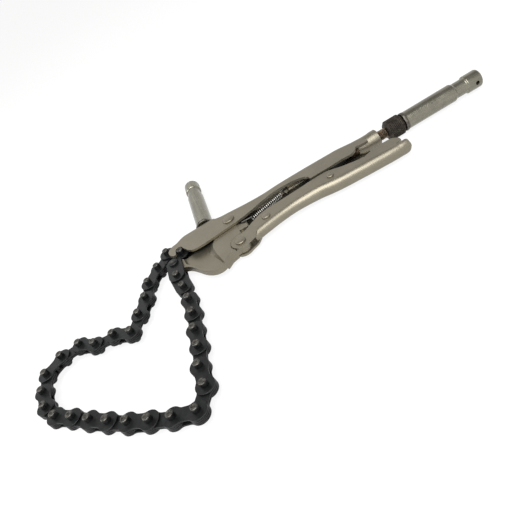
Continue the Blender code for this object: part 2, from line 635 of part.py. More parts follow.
def build_lever():
    """The lever handle: a fork round the lower jaw that widens into a channel grip."""
    flare = LEVER_HALF_WIDTH - FORK_OUTER
    stations = [(x * HANDLE_REACH, back * PIVOT_DROP, edge * PIVOT_DROP, FORK_OUTER + flare * share)
                for x, back, edge, share in LEVER_STATION_SHARES]
    body = channel("lever_handle", stations, LEVER_WALL, LEVER_BEND, -1)
    heel = placed(LEVER_PIVOT_SHARES)
    fork = [placed(point) for point in FORK_LOWER_SHARES]
    fork += arc(heel, LEVER_NOSE_RADIUS, 305, 95, 10)
    fork += [placed(point) for point in FORK_UPPER_SHARES]
    joined(body, "UNION", [prism("fork", fork, FORK_INNER, FORK_OUTER),
                           prism("fork", fork, -FORK_OUTER, -FORK_INNER)])
    toggle, release = placed(TOGGLE_PIVOT_SHARES), placed(RELEASE_PIVOT_SHARES)
    bored(body, [(heel, LEVER_RIVET_RADIUS + SEAT_GAP, RIVET_SIDES),
                 (toggle, LINK_RIVET_RADIUS + SEAT_GAP, RIVET_SIDES),
                 (release, RELEASE_RIVET_RADIUS + SEAT_GAP, RIVET_SIDES)], LEVER_HALF_WIDTH + CUT_OVERRUN)
    finished(body, "lever_handle", STEEL, heel)
    seat = FORK_OUTER + SEAT_GAP
    top = seat + RIVET_HEAD_HEIGHT
    rivet("lever_pivot_rivet", heel, LEVER_RIVET_RADIUS, LEVER_RIVET_HEAD, seat, top, STEEL)
    rivet("toggle_rivet", toggle, LINK_RIVET_RADIUS, LINK_RIVET_HEAD, seat, top, STEEL)
    seat = LEVER_HALF_WIDTH + SEAT_GAP
    rivet("release_rivet", release, RELEASE_RIVET_RADIUS, RELEASE_RIVET_HEAD, seat,
          seat + RIVET_HEAD_HEIGHT - SEAT_GAP, STEEL)


def build_toggle():
    """The toggle link, from its pivot in the lever to the tip of the screw."""
    hub = placed(TOGGLE_PIVOT_SHARES)
    end = (hub[0] + TOGGLE_REACH_SHARE * HANDLE_REACH - TOGGLE_NOSE_RADIUS, SCREW_LINE_SHARE * PIVOT_DROP)
    tilt = math.degrees(math.atan2(end[1] - hub[1], end[0] - hub[0]))
    run = Vector((end[0] - hub[0], end[1] - hub[1]))
    side = Vector((-run.y, run.x)).normalized() * TOGGLE_WAIST
    waist = [Vector(hub) + run * share for share in TOGGLE_WAIST_SHARES]
    outline = arc(hub, TOGGLE_HUB_RADIUS, tilt + 60, tilt + 300, 10)
    outline += [tuple(point - side) for point in waist]
    outline += arc(end, TOGGLE_NOSE_RADIUS, tilt - 80, tilt + 80, 8)
    outline += [tuple(point + side) for point in reversed(waist)]
    body = prism("toggle_link", outline, -TOGGLE_HALF_THICKNESS, TOGGLE_HALF_THICKNESS)
    bored(body, [(hub, LINK_RIVET_RADIUS + RUNNING_GAP, RIVET_SIDES)], TOGGLE_HALF_THICKNESS + CUT_OVERRUN)
    finished(body, "toggle_link", BLACK_STEEL, hub)
    return end[0] + TOGGLE_NOSE_RADIUS


def build_release():
    """The release lever: a plate with a hub and a broad bent thumb tab."""
    hub = placed(RELEASE_PIVOT_SHARES)
    body = prism("release_lever", [placed(point) for point in RELEASE_BODY_SHARES],
                 -RELEASE_HALF_THICKNESS, RELEASE_HALF_THICKNESS)
    stations = [(x * HANDLE_REACH, back * PIVOT_DROP, edge * PIVOT_DROP, RELEASE_HUB_HALF)
                for x, back, edge in RELEASE_TAB_SHARES]
    tab = channel("tab", stations, RELEASE_TAB_THICKNESS, RELEASE_TAB_BEND, 1)
    joined(body, "UNION", [tab, prism("hub", circle(hub, RELEASE_HUB_RADIUS, RIVET_SIDES),
                                      -RELEASE_HUB_HALF, RELEASE_HUB_HALF)])
    bored(body, [(hub, RELEASE_RIVET_RADIUS + RUNNING_GAP, RIVET_SIDES)], RELEASE_HUB_HALF + CUT_OVERRUN)
    finished(body, "release_lever", STEEL, hub)


def build_screw(toggle_end):
    """The adjusting screw, its knob and the stud welded on the knob's end."""
    y = SCREW_LINE_SHARE * PIVOT_DROP
    tip = toggle_end + SCREW_TIP_GAP
    rod = HANDLE_REACH + EXPOSED_THREAD - tip
    spigot = rod + SCREW_SPIGOT_LENGTH
    profile = [(0, 0), (0, SCREW_RADIUS - SCREW_TIP_BEVEL), (SCREW_TIP_BEVEL, SCREW_RADIUS),
               (rod, SCREW_RADIUS), (rod, SCREW_SPIGOT_RADIUS), (spigot, SCREW_SPIGOT_RADIUS), (spigot, 0)]
    screw = turned("adjusting_screw", profile, RIVET_SIDES, along_x(tip, y))
    finished(screw, "adjusting_screw", DARK_STEEL, (tip, y))
    face = tip + rod + SEAT_GAP
    bore = SCREW_SPIGOT_RADIUS + SEAT_GAP
    floor = SCREW_SPIGOT_LENGTH + SEAT_GAP
    rim = KNOB_RADIUS - KNOB_BEVEL
    profile = [(0, bore), (0, rim), (KNOB_BEVEL, KNOB_RADIUS), (KNOB_LENGTH - KNOB_BEVEL, KNOB_RADIUS),
               (KNOB_LENGTH, rim), (KNOB_LENGTH, 0), (floor, 0), (floor, bore), (0, bore)]
    knob = turned("screw_knob", profile, ROUND_SIDES, along_x(face, y))
    finished(knob, "screw_knob", DARK_STEEL, (face, y))
    turn = along_x(face + KNOB_LENGTH + SEAT_GAP, y)
    stud("end_stud", END_STUD_LENGTH, turn, Matrix.Rotation(math.pi / 2, 4, "X"), (face, y))
    weld("end_stud_weld", END_WELD_SPREAD, turn, (face, y))


def build_spring():
    """The return spring: one wire wound from the jaw's ear to the lug in the handle."""
    ear, eye = Vector((*placed(SPRING_EAR_SHARES), 0)), Vector((*placed(SPRING_LUG_SHARES), 0))
    run = eye - ear
    across = Vector((-run.y, run.x, 0)).normalized()
    up = Vector((0, 0, 1))
    near_leg = JAW_HALF_THICKNESS + 4 * WIRE_RADIUS
    far_leg = LUG_HALF_THICKNESS + 3 * WIRE_RADIUS
    points = [ear - up * (near_leg + 2 * WIRE_RADIUS), ear - up * near_leg, ear + up * near_leg]
    total = COIL_CURLS * COIL_POINTS
    for step in range(total + 1):
        turn = 2 * math.pi * step / COIL_POINTS
        share = COIL_START_SHARE + (COIL_END_SHARE - COIL_START_SHARE) * step / total
        points.append(ear + run * share + COIL_RADIUS * (up * math.cos(turn) + across * math.sin(turn)))
    points += [eye + up * far_leg, eye - up * far_leg, eye - up * (far_leg + 2 * WIRE_RADIUS)]
    turns = np.array([tuple(point) for point in points[3:4 + total]])
    gap = min(np.linalg.norm(turns[i + COIL_POINTS - 1:] - turns[i], axis=1).min()
              for i in range(len(turns) - COIL_POINTS))
    print(f"return_spring least gap to itself {1000 * (gap - 2 * WIRE_RADIUS):.3f} mm")
    curve = bpy.data.curves.new("return_spring", "CURVE")
    curve.dimensions = "3D"
    curve.bevel_depth = WIRE_RADIUS
    curve.bevel_resolution = WIRE_BEVEL_STEPS
    curve.use_fill_caps = True
    spline = curve.splines.new("POLY")
    spline.points.add(len(points) - 1)
    for point, place in zip(spline.points, points):
        point.co = (*(place - ear), 1)
    made = bpy.data.objects.new("return_spring", curve)
    bpy.context.scene.collection.objects.link(made)
    made.location = ear + up * MIDDLE_HEIGHT
    curve.materials.append(material_of("return_spring", BRIGHT_STEEL))


def main():
    """Clears the scene and builds every piece."""
    for made in list(bpy.data.objects):
        bpy.data.objects.remove(made, do_unlink=True)
    build_chain()
    build_handle()
    build_jaw_stud()
    build_lower_jaw()
    build_lever()
    build_screw(build_toggle())
    build_release()
    build_spring()


main()
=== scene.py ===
"""Looks of a chain clamp: locking pliers with a loop of extended-pin chain and two grip studs.

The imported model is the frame. Every piece below is built in millimetres about the tool's middle
plane, with the jaw pivot at the plan's origin, and is then put into the frame in metres.
"""

from __future__ import annotations

import json
import logging
import math
from dataclasses import dataclass
from enum import Enum

import bmesh
import bpy
import numpy as np
from mathutils import Matrix, Vector

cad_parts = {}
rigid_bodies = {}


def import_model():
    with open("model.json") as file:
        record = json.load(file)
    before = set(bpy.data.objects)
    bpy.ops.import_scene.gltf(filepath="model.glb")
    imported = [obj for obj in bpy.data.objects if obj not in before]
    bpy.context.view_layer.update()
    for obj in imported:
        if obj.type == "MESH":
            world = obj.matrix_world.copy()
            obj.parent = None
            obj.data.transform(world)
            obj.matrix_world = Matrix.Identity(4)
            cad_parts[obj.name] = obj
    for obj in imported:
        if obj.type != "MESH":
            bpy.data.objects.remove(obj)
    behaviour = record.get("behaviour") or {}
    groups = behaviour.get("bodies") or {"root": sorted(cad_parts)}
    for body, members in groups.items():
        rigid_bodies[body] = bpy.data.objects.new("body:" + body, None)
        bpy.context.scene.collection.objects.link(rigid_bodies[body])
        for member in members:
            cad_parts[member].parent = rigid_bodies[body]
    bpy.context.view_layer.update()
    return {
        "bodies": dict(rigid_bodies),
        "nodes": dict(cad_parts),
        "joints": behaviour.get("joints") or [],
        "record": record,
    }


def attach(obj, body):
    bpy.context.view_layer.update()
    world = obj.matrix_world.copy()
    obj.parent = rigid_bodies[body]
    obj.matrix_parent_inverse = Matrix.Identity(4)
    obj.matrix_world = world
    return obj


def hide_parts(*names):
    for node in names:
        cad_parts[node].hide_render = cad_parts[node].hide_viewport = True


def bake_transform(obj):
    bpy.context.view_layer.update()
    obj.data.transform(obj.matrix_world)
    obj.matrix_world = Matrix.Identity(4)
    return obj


log = logging.getLogger("chain_clamp")

Plan = tuple[float, float]
Point = tuple[float, float, float]
Colour = tuple[float, float, float]
Rows = tuple[tuple[float, ...], ...]

# One millimetre in metres. All the lengths after it are in millimetres.
MM = 0.001

# The height of the tool's middle plane.
MIDDLE = 9.25

# Points nearer than this are merged in a new solid, and before its edges are rounded.
MERGE = 0.001
MERGE_BEFORE_ROUNDING = 0.002

# Edges shorter than this are left out of an outline.
TINY = 1e-6

# How far a cutter reaches on both sides, which is right through every piece.
THROUGH = 10.0

# The pivots in the plan, and the line of the adjusting screw across it.
JAW_PIVOT: Plan = (0, 0)
LEVER_PIVOT: Plan = (0.195, -34.9)
TOGGLE_PIVOT: Plan = (29.1, -22.7)
RELEASE_PIVOT: Plan = (92.5, -22.3)
CHAIN_ANCHOR: Plan = (-59.45, -11.4)
SPRING_EAR: Plan = (9.0, -11.0)
SPRING_EYE: Plan = (57.0, 5.0)
SCREW_LINE = 1.1


# Shader maths.


class Signal:
    """A node's socket with arithmetic, so that a mask can be written as an expression."""

    def __init__(self, tree: Tree, socket: bpy.types.NodeSocket) -> None:
        """Wraps the socket of a node in the tree."""
        self.tree = tree
        self.socket = socket

    def __add__(self, other: object) -> Signal:
        """Sum."""
        return self.tree.math("ADD", self, other)

    __radd__ = __add__

    def __sub__(self, other: object) -> Signal:
        """Difference."""
        return self.tree.math("SUBTRACT", self, other)

    def __rsub__(self, other: object) -> Signal:
        """Difference, reflected."""
        return self.tree.math("SUBTRACT", other, self)

    def __mul__(self, other: object) -> Signal:
        """Product."""
        return self.tree.math("MULTIPLY", self, other)

    __rmul__ = __mul__

    def __rtruediv__(self, other: object) -> Signal:
        """A number divided by this."""
        return self.tree.math("DIVIDE", other, self)

    def __abs__(self) -> Signal:
        """Size without sign."""
        return self.tree.math("ABSOLUTE", self)

    def ramp(self, low: float, high: float) -> Signal:
        """Maps low..high smoothly onto 0..1, and holds the rest at the ends."""
        settings = {"interpolation_type": "SMOOTHSTEP"}
        return self.tree.add("ShaderNodeMapRange", settings, {"Value": self, 1: low, 2: high})


class Tree:
    """A node tree, with one method that adds any node."""

    def __init__(self, tree: bpy.types.NodeTree) -> None:
        """Empties the tree."""
        self.tree = tree
        self.tree.nodes.clear()

    def add(self, kind: str, settings: dict, values: dict, result: int | str = 0) -> Signal:
        """Adds a node.

        Args:
            kind: the node's type.
            settings: its properties, set before its sockets.
            values: values or signals for its sockets, by name or number.
            result: the output socket wanted.

        Returns:
            That output as a signal.
        """
        node = self.tree.nodes.new(kind)
        for key, value in settings.items():
            setattr(node, key, value)
        for key, value in values.items():
            if isinstance(value, Signal):
                self.tree.links.new(value.socket, node.inputs[key])
            else:
                node.inputs[key].default_value = value
        return Signal(self, node.outputs[result])

    def math(self, operation: str, first: object, second: object = 0.0) -> Signal:
        """Adds a Math node of that operation on one or two values or signals, and returns its result."""
        return self.add("ShaderNodeMath", {"operation": operation}, {0: first, 1: second})

    def seen(self) -> Signal:
        """Tells the rays that see a surface from those that only light it.

        Returns:
            1 for rays from the camera, off mirrors and through glass, else 0.
        """
        camera, glossy, through = (
            self.add("ShaderNodeLightPath", {}, {}, key)
            for key in ("Is Camera Ray", "Is Glossy Ray", "Is Transmission Ray")
        )
        return self.math("MAXIMUM", self.math("MAXIMUM", camera, glossy), through)

    def end(self, kind: str, result: Signal) -> None:
        """Adds the output node of that type and feeds its first socket."""
        self.tree.links.new(result.socket, self.tree.nodes.new(kind).inputs[0])


class Sheet(Tree):
    """A material's node tree."""

    def __init__(self, name: str) -> None:
        """Starts an empty material.

        Args:
            name: the material's name.
        """
        self.material = bpy.data.materials.new(name)
        self.material.use_nodes = True
        super().__init__(self.material.node_tree)
        self.place = self.add("ShaderNodeTexCoord", {}, {}, "Object")

    def mapped(self, scale: Point, turn_deg: float = 0.0) -> Signal:
        """Returns Object coordinates turned about Z, with the pattern's repeats per metre along each axis."""
        values = {"Vector": self.place, "Rotation": (0, 0, math.radians(turn_deg)), "Scale": scale}
        return self.add("ShaderNodeMapping", {"vector_type": "POINT"}, values)

    def noise(self, scale: float, detail: float, rough: float, vector: Signal | None = None) -> Signal:
        """Returns noise from 0 to 1 on the object's own coordinates, or on the given ones."""
        values = {"Vector": vector or self.place, "Scale": scale, "Detail": detail, "Roughness": rough}
        return self.add("ShaderNodeTexNoise", {"noise_dimensions": "3D"}, values, "Fac")

    def mix(self, mask: object, low: Colour | Signal, high: Colour | Signal) -> Signal:
        """Returns a mix of two colours, where the mask is the share of the second."""
        low, high = ((*end, 1) if isinstance(end, tuple) else end for end in (low, high))
        return self.add("ShaderNodeMix", {"data_type": "RGBA"}, {0: mask, 6: low, 7: high}, 2)

    def bump(self, height: Signal, distance: float, strength: float) -> Signal:
        """Returns a normal bumped by a height pattern, where 1 stands the given metres high."""
        values = {"Height": height, "Distance": distance, "Strength": strength}
        return self.add("ShaderNodeBump", {}, values, "Normal")

    def skin(self, colour: Signal, rough: object, metallic: object, **normal: Signal) -> Signal:
        """Returns a Principled shader, with a bumped normal where one is given."""
        values = {"Base Color": colour, "Roughness": rough, "Metallic": metallic, **normal}
        return self.add("ShaderNodeBsdfPrincipled", {}, values)

    def finished(self, shader: Signal) -> bpy.types.Material:
        """Ends the tree in a shader and returns the material."""
        self.end("ShaderNodeOutputMaterial", shader)
        return self.material


# Finishes.


@dataclass(frozen=True)
class SatinNickel:
    """Blasted sheet steel under dull warm nickel, with faint clouds, fine grit and a few scuffs."""

    name: str = "satin_nickel"
    colour: Colour = (0.212, 0.192, 0.148)
    light: Colour = (0.272, 0.248, 0.193)
    rough: float = 0.45
    metallic: float = 0.92
    cloud_scale: float = 42.0
    dent_scale: float = 240.0
    grit_scale: float = 1900.0
    scuff_scale: Point = (60, 900, 900)
    scuff_turn_deg: float = 12.0
    scuff_shade: float = 0.72
    relief: float = 0.00005

    def build(self) -> bpy.types.Material:
        """Mixes clouds, grit, dents and scuffs into the finish.

        Returns:
            The material.
        """
        sheet = Sheet(self.name)
        clouds = sheet.noise(self.cloud_scale, 4.0, 0.6)
        grit = sheet.noise(self.grit_scale, 2.0, 0.6)
        dents = sheet.noise(self.dent_scale, 2.0, 0.5)
        lines = sheet.mapped(self.scuff_scale, self.scuff_turn_deg)
        scuffs = sheet.noise(6.0, 3.0, 0.7, lines).ramp(0.62, 0.78)
        colour = sheet.mix(clouds.ramp(0.3, 0.75) * 0.55 + grit * 0.12, self.colour, self.light)
        colour = sheet.mix(scuffs * 0.22, colour, tuple(part * self.scuff_shade for part in self.colour))
        rough = clouds * 0.10 + grit * 0.06 + scuffs * 0.08 + (self.rough - 0.09)
        normal = sheet.bump(grit * 0.6 + dents * 1.4, self.relief, 0.55)
        return sheet.finished(sheet.skin(colour, rough, self.metallic, Normal=normal))


@dataclass(frozen=True)
class DrawnZinc:
    """Drawn bar under thin cool zinc, streaked along the bar and patchy across it."""

    name: str
    streak_scale: Point
    turn_deg: float = 0.0
    colour: Colour = (0.172, 0.164, 0.131)
    light: Colour = (0.262, 0.25, 0.2)
    worn: Colour = (0.16, 0.15, 0.125)
    rough: float = 0.24
    metallic: float = 0.88
    patch_scale: float = 85.0
    grit_scale: float = 1500.0
    relief: float = 0.00002

    def build(self) -> bpy.types.Material:
        """Mixes streaks, patches and grit into the finish.

        Returns:
            The material.
        """
        sheet = Sheet(self.name)
        streaks = sheet.noise(1.0, 4.0, 0.6, sheet.mapped(self.streak_scale, self.turn_deg))
        patches = sheet.noise(self.patch_scale, 4.0, 0.65)
        grit = sheet.noise(self.grit_scale, 2.0, 0.6)
        shade = streaks.ramp(0.3, 0.72) * 0.6 + patches.ramp(0.4, 0.7) * 0.4
        colour = sheet.mix(shade, self.colour, self.light)
        colour = sheet.mix(patches.ramp(0.64, 0.7) * 0.35, colour, self.worn)
        rough = patches * 0.16 + streaks * 0.08 + (self.rough - 0.1)
        normal = sheet.bump(streaks * 0.7 + grit * 0.05, self.relief, 0.25)
        return sheet.finished(sheet.skin(colour, rough, self.metallic, Normal=normal))


@dataclass(frozen=True)
class WeldScale:
    """A weld bead, plated over: darker, with ripples and heat tint."""

    name: str = "weld_scale"
    colour: Colour = (0.06, 0.055, 0.046)
    light: Colour = (0.17, 0.158, 0.132)
    tint: Colour = (0.06, 0.05, 0.04)
    rough: float = 0.34
    metallic: float = 0.8
    lump_scale: float = 300.0
    soot_scale: float = 90.0
    relief: float = 0.0003

    def build(self) -> bpy.types.Material:
        """Mixes lumps and soot into the finish.

        Returns:
            The material.
        """
        sheet = Sheet(self.name)
        lumps = sheet.noise(self.lump_scale, 3.0, 0.6)
        soot = sheet.noise(self.soot_scale, 3.0, 0.5)
        colour = sheet.mix(lumps.ramp(0.35, 0.7) * 0.8, self.colour, self.light)
        colour = sheet.mix(soot.ramp(0.5, 0.7) * 0.5, colour, self.tint)
        normal = sheet.bump(lumps, self.relief, 0.6)
        return sheet.finished(sheet.skin(colour, lumps * 0.2 + self.rough, self.metallic, Normal=normal))


@dataclass(frozen=True)
class OiledBlack:
    """Oiled black steel, greyer and shinier where the pins' ends are rubbed."""

    name: str = "oiled_black"
    colour: Colour = (0.0072, 0.0078, 0.0082)
    dust: Colour = (0.0155, 0.016, 0.016)
    rubbed: Colour = (0.12, 0.112, 0.096)
    rough: float = 0.3
    metallic: float = 0.55
    tip_height: float = 7.05
    tip_fade: float = 0.4
    cloud_scale: float = 160.0
    rub_scale: float = 700.0
    grit_scale: float = 1700.0
    relief: float = 0.00007

    def build(self) -> bpy.types.Material:
        """Mixes clouds and grit into the finish, and rubs the pins' ends.

        Returns:
            The material.
        """
        sheet = Sheet(self.name)
        clouds = sheet.noise(self.cloud_scale, 4.0, 0.6)
        grit = sheet.noise(self.grit_scale, 2.0, 0.6)
        height = sheet.add("ShaderNodeSeparateXYZ", {}, {0: sheet.place}, 2)
        above = abs(height - MIDDLE * MM)
        tips = above.ramp(self.tip_height * MM, (self.tip_height + self.tip_fade) * MM)
        rubbing = sheet.noise(self.rub_scale, 3.0, 0.6).ramp(0.28, 0.6)
        colour = sheet.mix(clouds.ramp(0.35, 0.7), self.colour, self.dust)
        colour = sheet.mix(tips * rubbing * 0.9, colour, self.rubbed)
        rough = clouds * 0.14 + grit * 0.08 + self.rough - tips * 0.03
        normal = sheet.bump(clouds * 1.2 + grit * 0.6, self.relief, 0.5)
        return sheet.finished(sheet.skin(colour, rough, tips * 0.25 + self.metallic, Normal=normal))


@dataclass(frozen=True)
class BrownOxide:
    """Dark brown oxide on turned steel, bronze where it is worn."""

    name: str
    colour: Colour
    worn: Colour
    wear: float
    rough: float
    metallic: float = 0.75
    patch_scale: float = 260.0
    grit_scale: float = 1500.0
    relief: float = 0.00008

    def build(self) -> bpy.types.Material:
        """Mixes worn patches and grit into the finish.

        Returns:
            The material.
        """
        sheet = Sheet(self.name)
        patches = sheet.noise(self.patch_scale, 4.0, 0.65)
        grit = sheet.noise(self.grit_scale, 2.0, 0.6)
        colour = sheet.mix(patches.ramp(0.45, 0.72) * self.wear, self.colour, self.worn)
        rough = patches * 0.18 + grit * 0.08 + (self.rough - 0.1)
        normal = sheet.bump(patches + grit, self.relief, 0.5)
        return sheet.finished(sheet.skin(colour, rough, self.metallic, Normal=normal))


@dataclass(frozen=True)
class SpringWire:
    """Bright drawn wire, darker in random patches."""

    name: str = "spring_wire"
    colour: Colour = (0.36, 0.35, 0.32)
    darker_tone: Colour = (0.1, 0.09, 0.08)
    rough: float = 0.2
    metallic: float = 0.95
    dark_patch_scale: float = 500.0
    relief: float = 0.00003

    def build(self) -> bpy.types.Material:
        """Darkens the wire in random patches.

        Returns:
            The material.
        """
        sheet = Sheet(self.name)
        dark_patches = sheet.noise(self.dark_patch_scale, 3.0, 0.6)
        # Random noise darkens the wire in patches; it does not follow the gaps between the coils.
        colour = sheet.mix(dark_patches.ramp(0.5, 0.75) * 0.6, self.colour, self.darker_tone)
        normal = sheet.bump(dark_patches, self.relief, 0.4)
        return sheet.finished(sheet.skin(colour, dark_patches * 0.15 + self.rough, self.metallic, Normal=normal))


@dataclass(frozen=True)
class Finishes:
    """The materials that the pieces share."""

    nickel: bpy.types.Material
    weld: bpy.types.Material
    black: bpy.types.Material
    thread: bpy.types.Material
    knob: bpy.types.Material
    wire: bpy.types.Material
    zinc_across: bpy.types.Material
    zinc_along: bpy.types.Material

    @classmethod
    def build(cls) -> Finishes:
        """Builds every finish once.

        Returns:
            All of them.
        """
        thread = BrownOxide("thread_bronze", (0.07, 0.052, 0.035), (0.34, 0.26, 0.16), 0.8, 0.3)
        knob = BrownOxide("knob_brown", (0.030, 0.025, 0.020), (0.10, 0.082, 0.062), 0.55, 0.5)
        across = DrawnZinc("zinc_across", (900, 25, 900), 3.0)
        along = DrawnZinc("zinc_along", (25, 900, 900))
        made = (SatinNickel(), WeldScale(), OiledBlack(), thread, knob, SpringWire(), across, along)
        return cls(*(finish.build() for finish in made))


class Slot(Enum):
    """The record's material slots."""

    NICKEL = "nickel_steel"
    ZINC = "zinc_steel"
    WELD = "weld_steel"
    BLACK = "black_oxide_steel"
    DARK = "dark_steel"
    WIRE = "bright_wire"


# Shapes.


def smooth(share: float) -> float:
    """Returns a share eased at both ends."""
    return 3 * share**2 - 2 * share**3


def arc(centre: Plan, radius: float, start: float, end: float, steps: int) -> list[Plan]:
    """Returns points along an arc between two angles in degrees, both ends included."""
    angles = np.radians(np.linspace(start, end, steps + 1))
    return [(centre[0] + radius * math.cos(a), centre[1] + radius * math.sin(a)) for a in angles]


def eased(rows: Rows, step: float) -> list[list[float]]:
    """Fills in a table of stations along x with monotone cubics, so that it never overshoots.

    Args:
        rows: the stations, x first.
        step: greatest distance between the new stations.

    Returns:
        The denser stations.
    """
    table = np.array(rows, float)
    x = table[:, 0]
    gaps = np.diff(x)
    places = [x[0]]
    for low, gap in zip(x, gaps):
        parts = max(1, math.ceil(gap / step))
        places += [low + gap * (i + 1) / parts for i in range(parts)]
    places = np.array(places)
    result = [places]
    spot = np.clip(np.searchsorted(x, places, side="right") - 1, 0, len(gaps) - 1)
    s = (places - x[spot]) / gaps[spot]
    for values in table.T[1:]:
        slopes = np.diff(values) / gaps
        bend = np.zeros(len(x))
        same = slopes[:-1] * slopes[1:] > 0
        bend[1:-1][same] = 2 / (1 / slopes[:-1][same] + 1 / slopes[1:][same])
        bend[0], bend[-1] = slopes[0], slopes[-1]
        low, high = values[spot], values[spot + 1]
        leave, arrive = bend[spot] * gaps[spot], bend[spot + 1] * gaps[spot]
        result.append(low * (2 * s**3 - 3 * s**2 + 1) + high * (3 * s**2 - 2 * s**3)
                      + leave * (s**3 - 2 * s**2 + s) + arrive * (s**3 - s**2))
    return np.array(result).T.tolist()


def rounded(points: list[Plan], reach: float, steps: int = 4, least_deg: float = 8.0) -> list[Plan]:
    """Rounds the corners of a closed outline.

    Args:
        points: the outline.
        reach: how far from each corner the rounding starts.
        steps: segments for each corner.
        least_deg: corners flatter than this stay.

    Returns:
        The rounded outline.
    """
    most = 0.45
    made: list[Plan] = []
    for i, here in enumerate(points):
        spot = Vector(here)
        back, ahead = Vector(points[i - 1]) - spot, Vector(points[(i + 1) % len(points)]) - spot
        if min(back.length, ahead.length) < TINY:
            continue
        if math.degrees(back.angle(-ahead)) < least_deg:
            made.append(here)
            continue
        start = spot + back.normalized() * min(reach, back.length * most)
        end = spot + ahead.normalized() * min(reach, ahead.length * most)
        for step in range(steps + 1):
            t = step / steps
            made.append(tuple(start * (1 - t) ** 2 + spot * 2 * t * (1 - t) + end * t * t))
    return made


def inset(points: list[Plan], distance: float) -> list[Plan]:
    """Moves a counterclockwise outline inwards.

    Args:
        points: the outline.
        distance: how far.

    Returns:
        The smaller outline, point for point.
    """
    spots = np.array(points, float)
    run = np.roll(spots, -1, axis=0) - np.roll(spots, 1, axis=0)
    run /= np.maximum(np.linalg.norm(run, axis=1, keepdims=True), TINY)
    return [tuple(spot) for spot in spots + distance * np.stack([-run[:, 1], run[:, 0]], axis=1)]


def shown(made: bpy.types.Object) -> bpy.types.Object:
    """Links an object into the scene and returns it."""
    bpy.context.scene.collection.objects.link(made)
    return made


def plain_mesh(made: bpy.types.Object) -> bpy.types.Mesh:
    """Applies an object's modifiers on a copy.

    Args:
        made: the object.

    Returns:
        The resulting mesh.
    """
    bpy.context.view_layer.update()
    graph = bpy.context.evaluated_depsgraph_get()
    return bpy.data.meshes.new_from_object(made.evaluated_get(graph))


class Join(Enum):
    """How one solid meets another."""

    ADD = "UNION"
    CUT = "DIFFERENCE"
    COMMON = "INTERSECT"


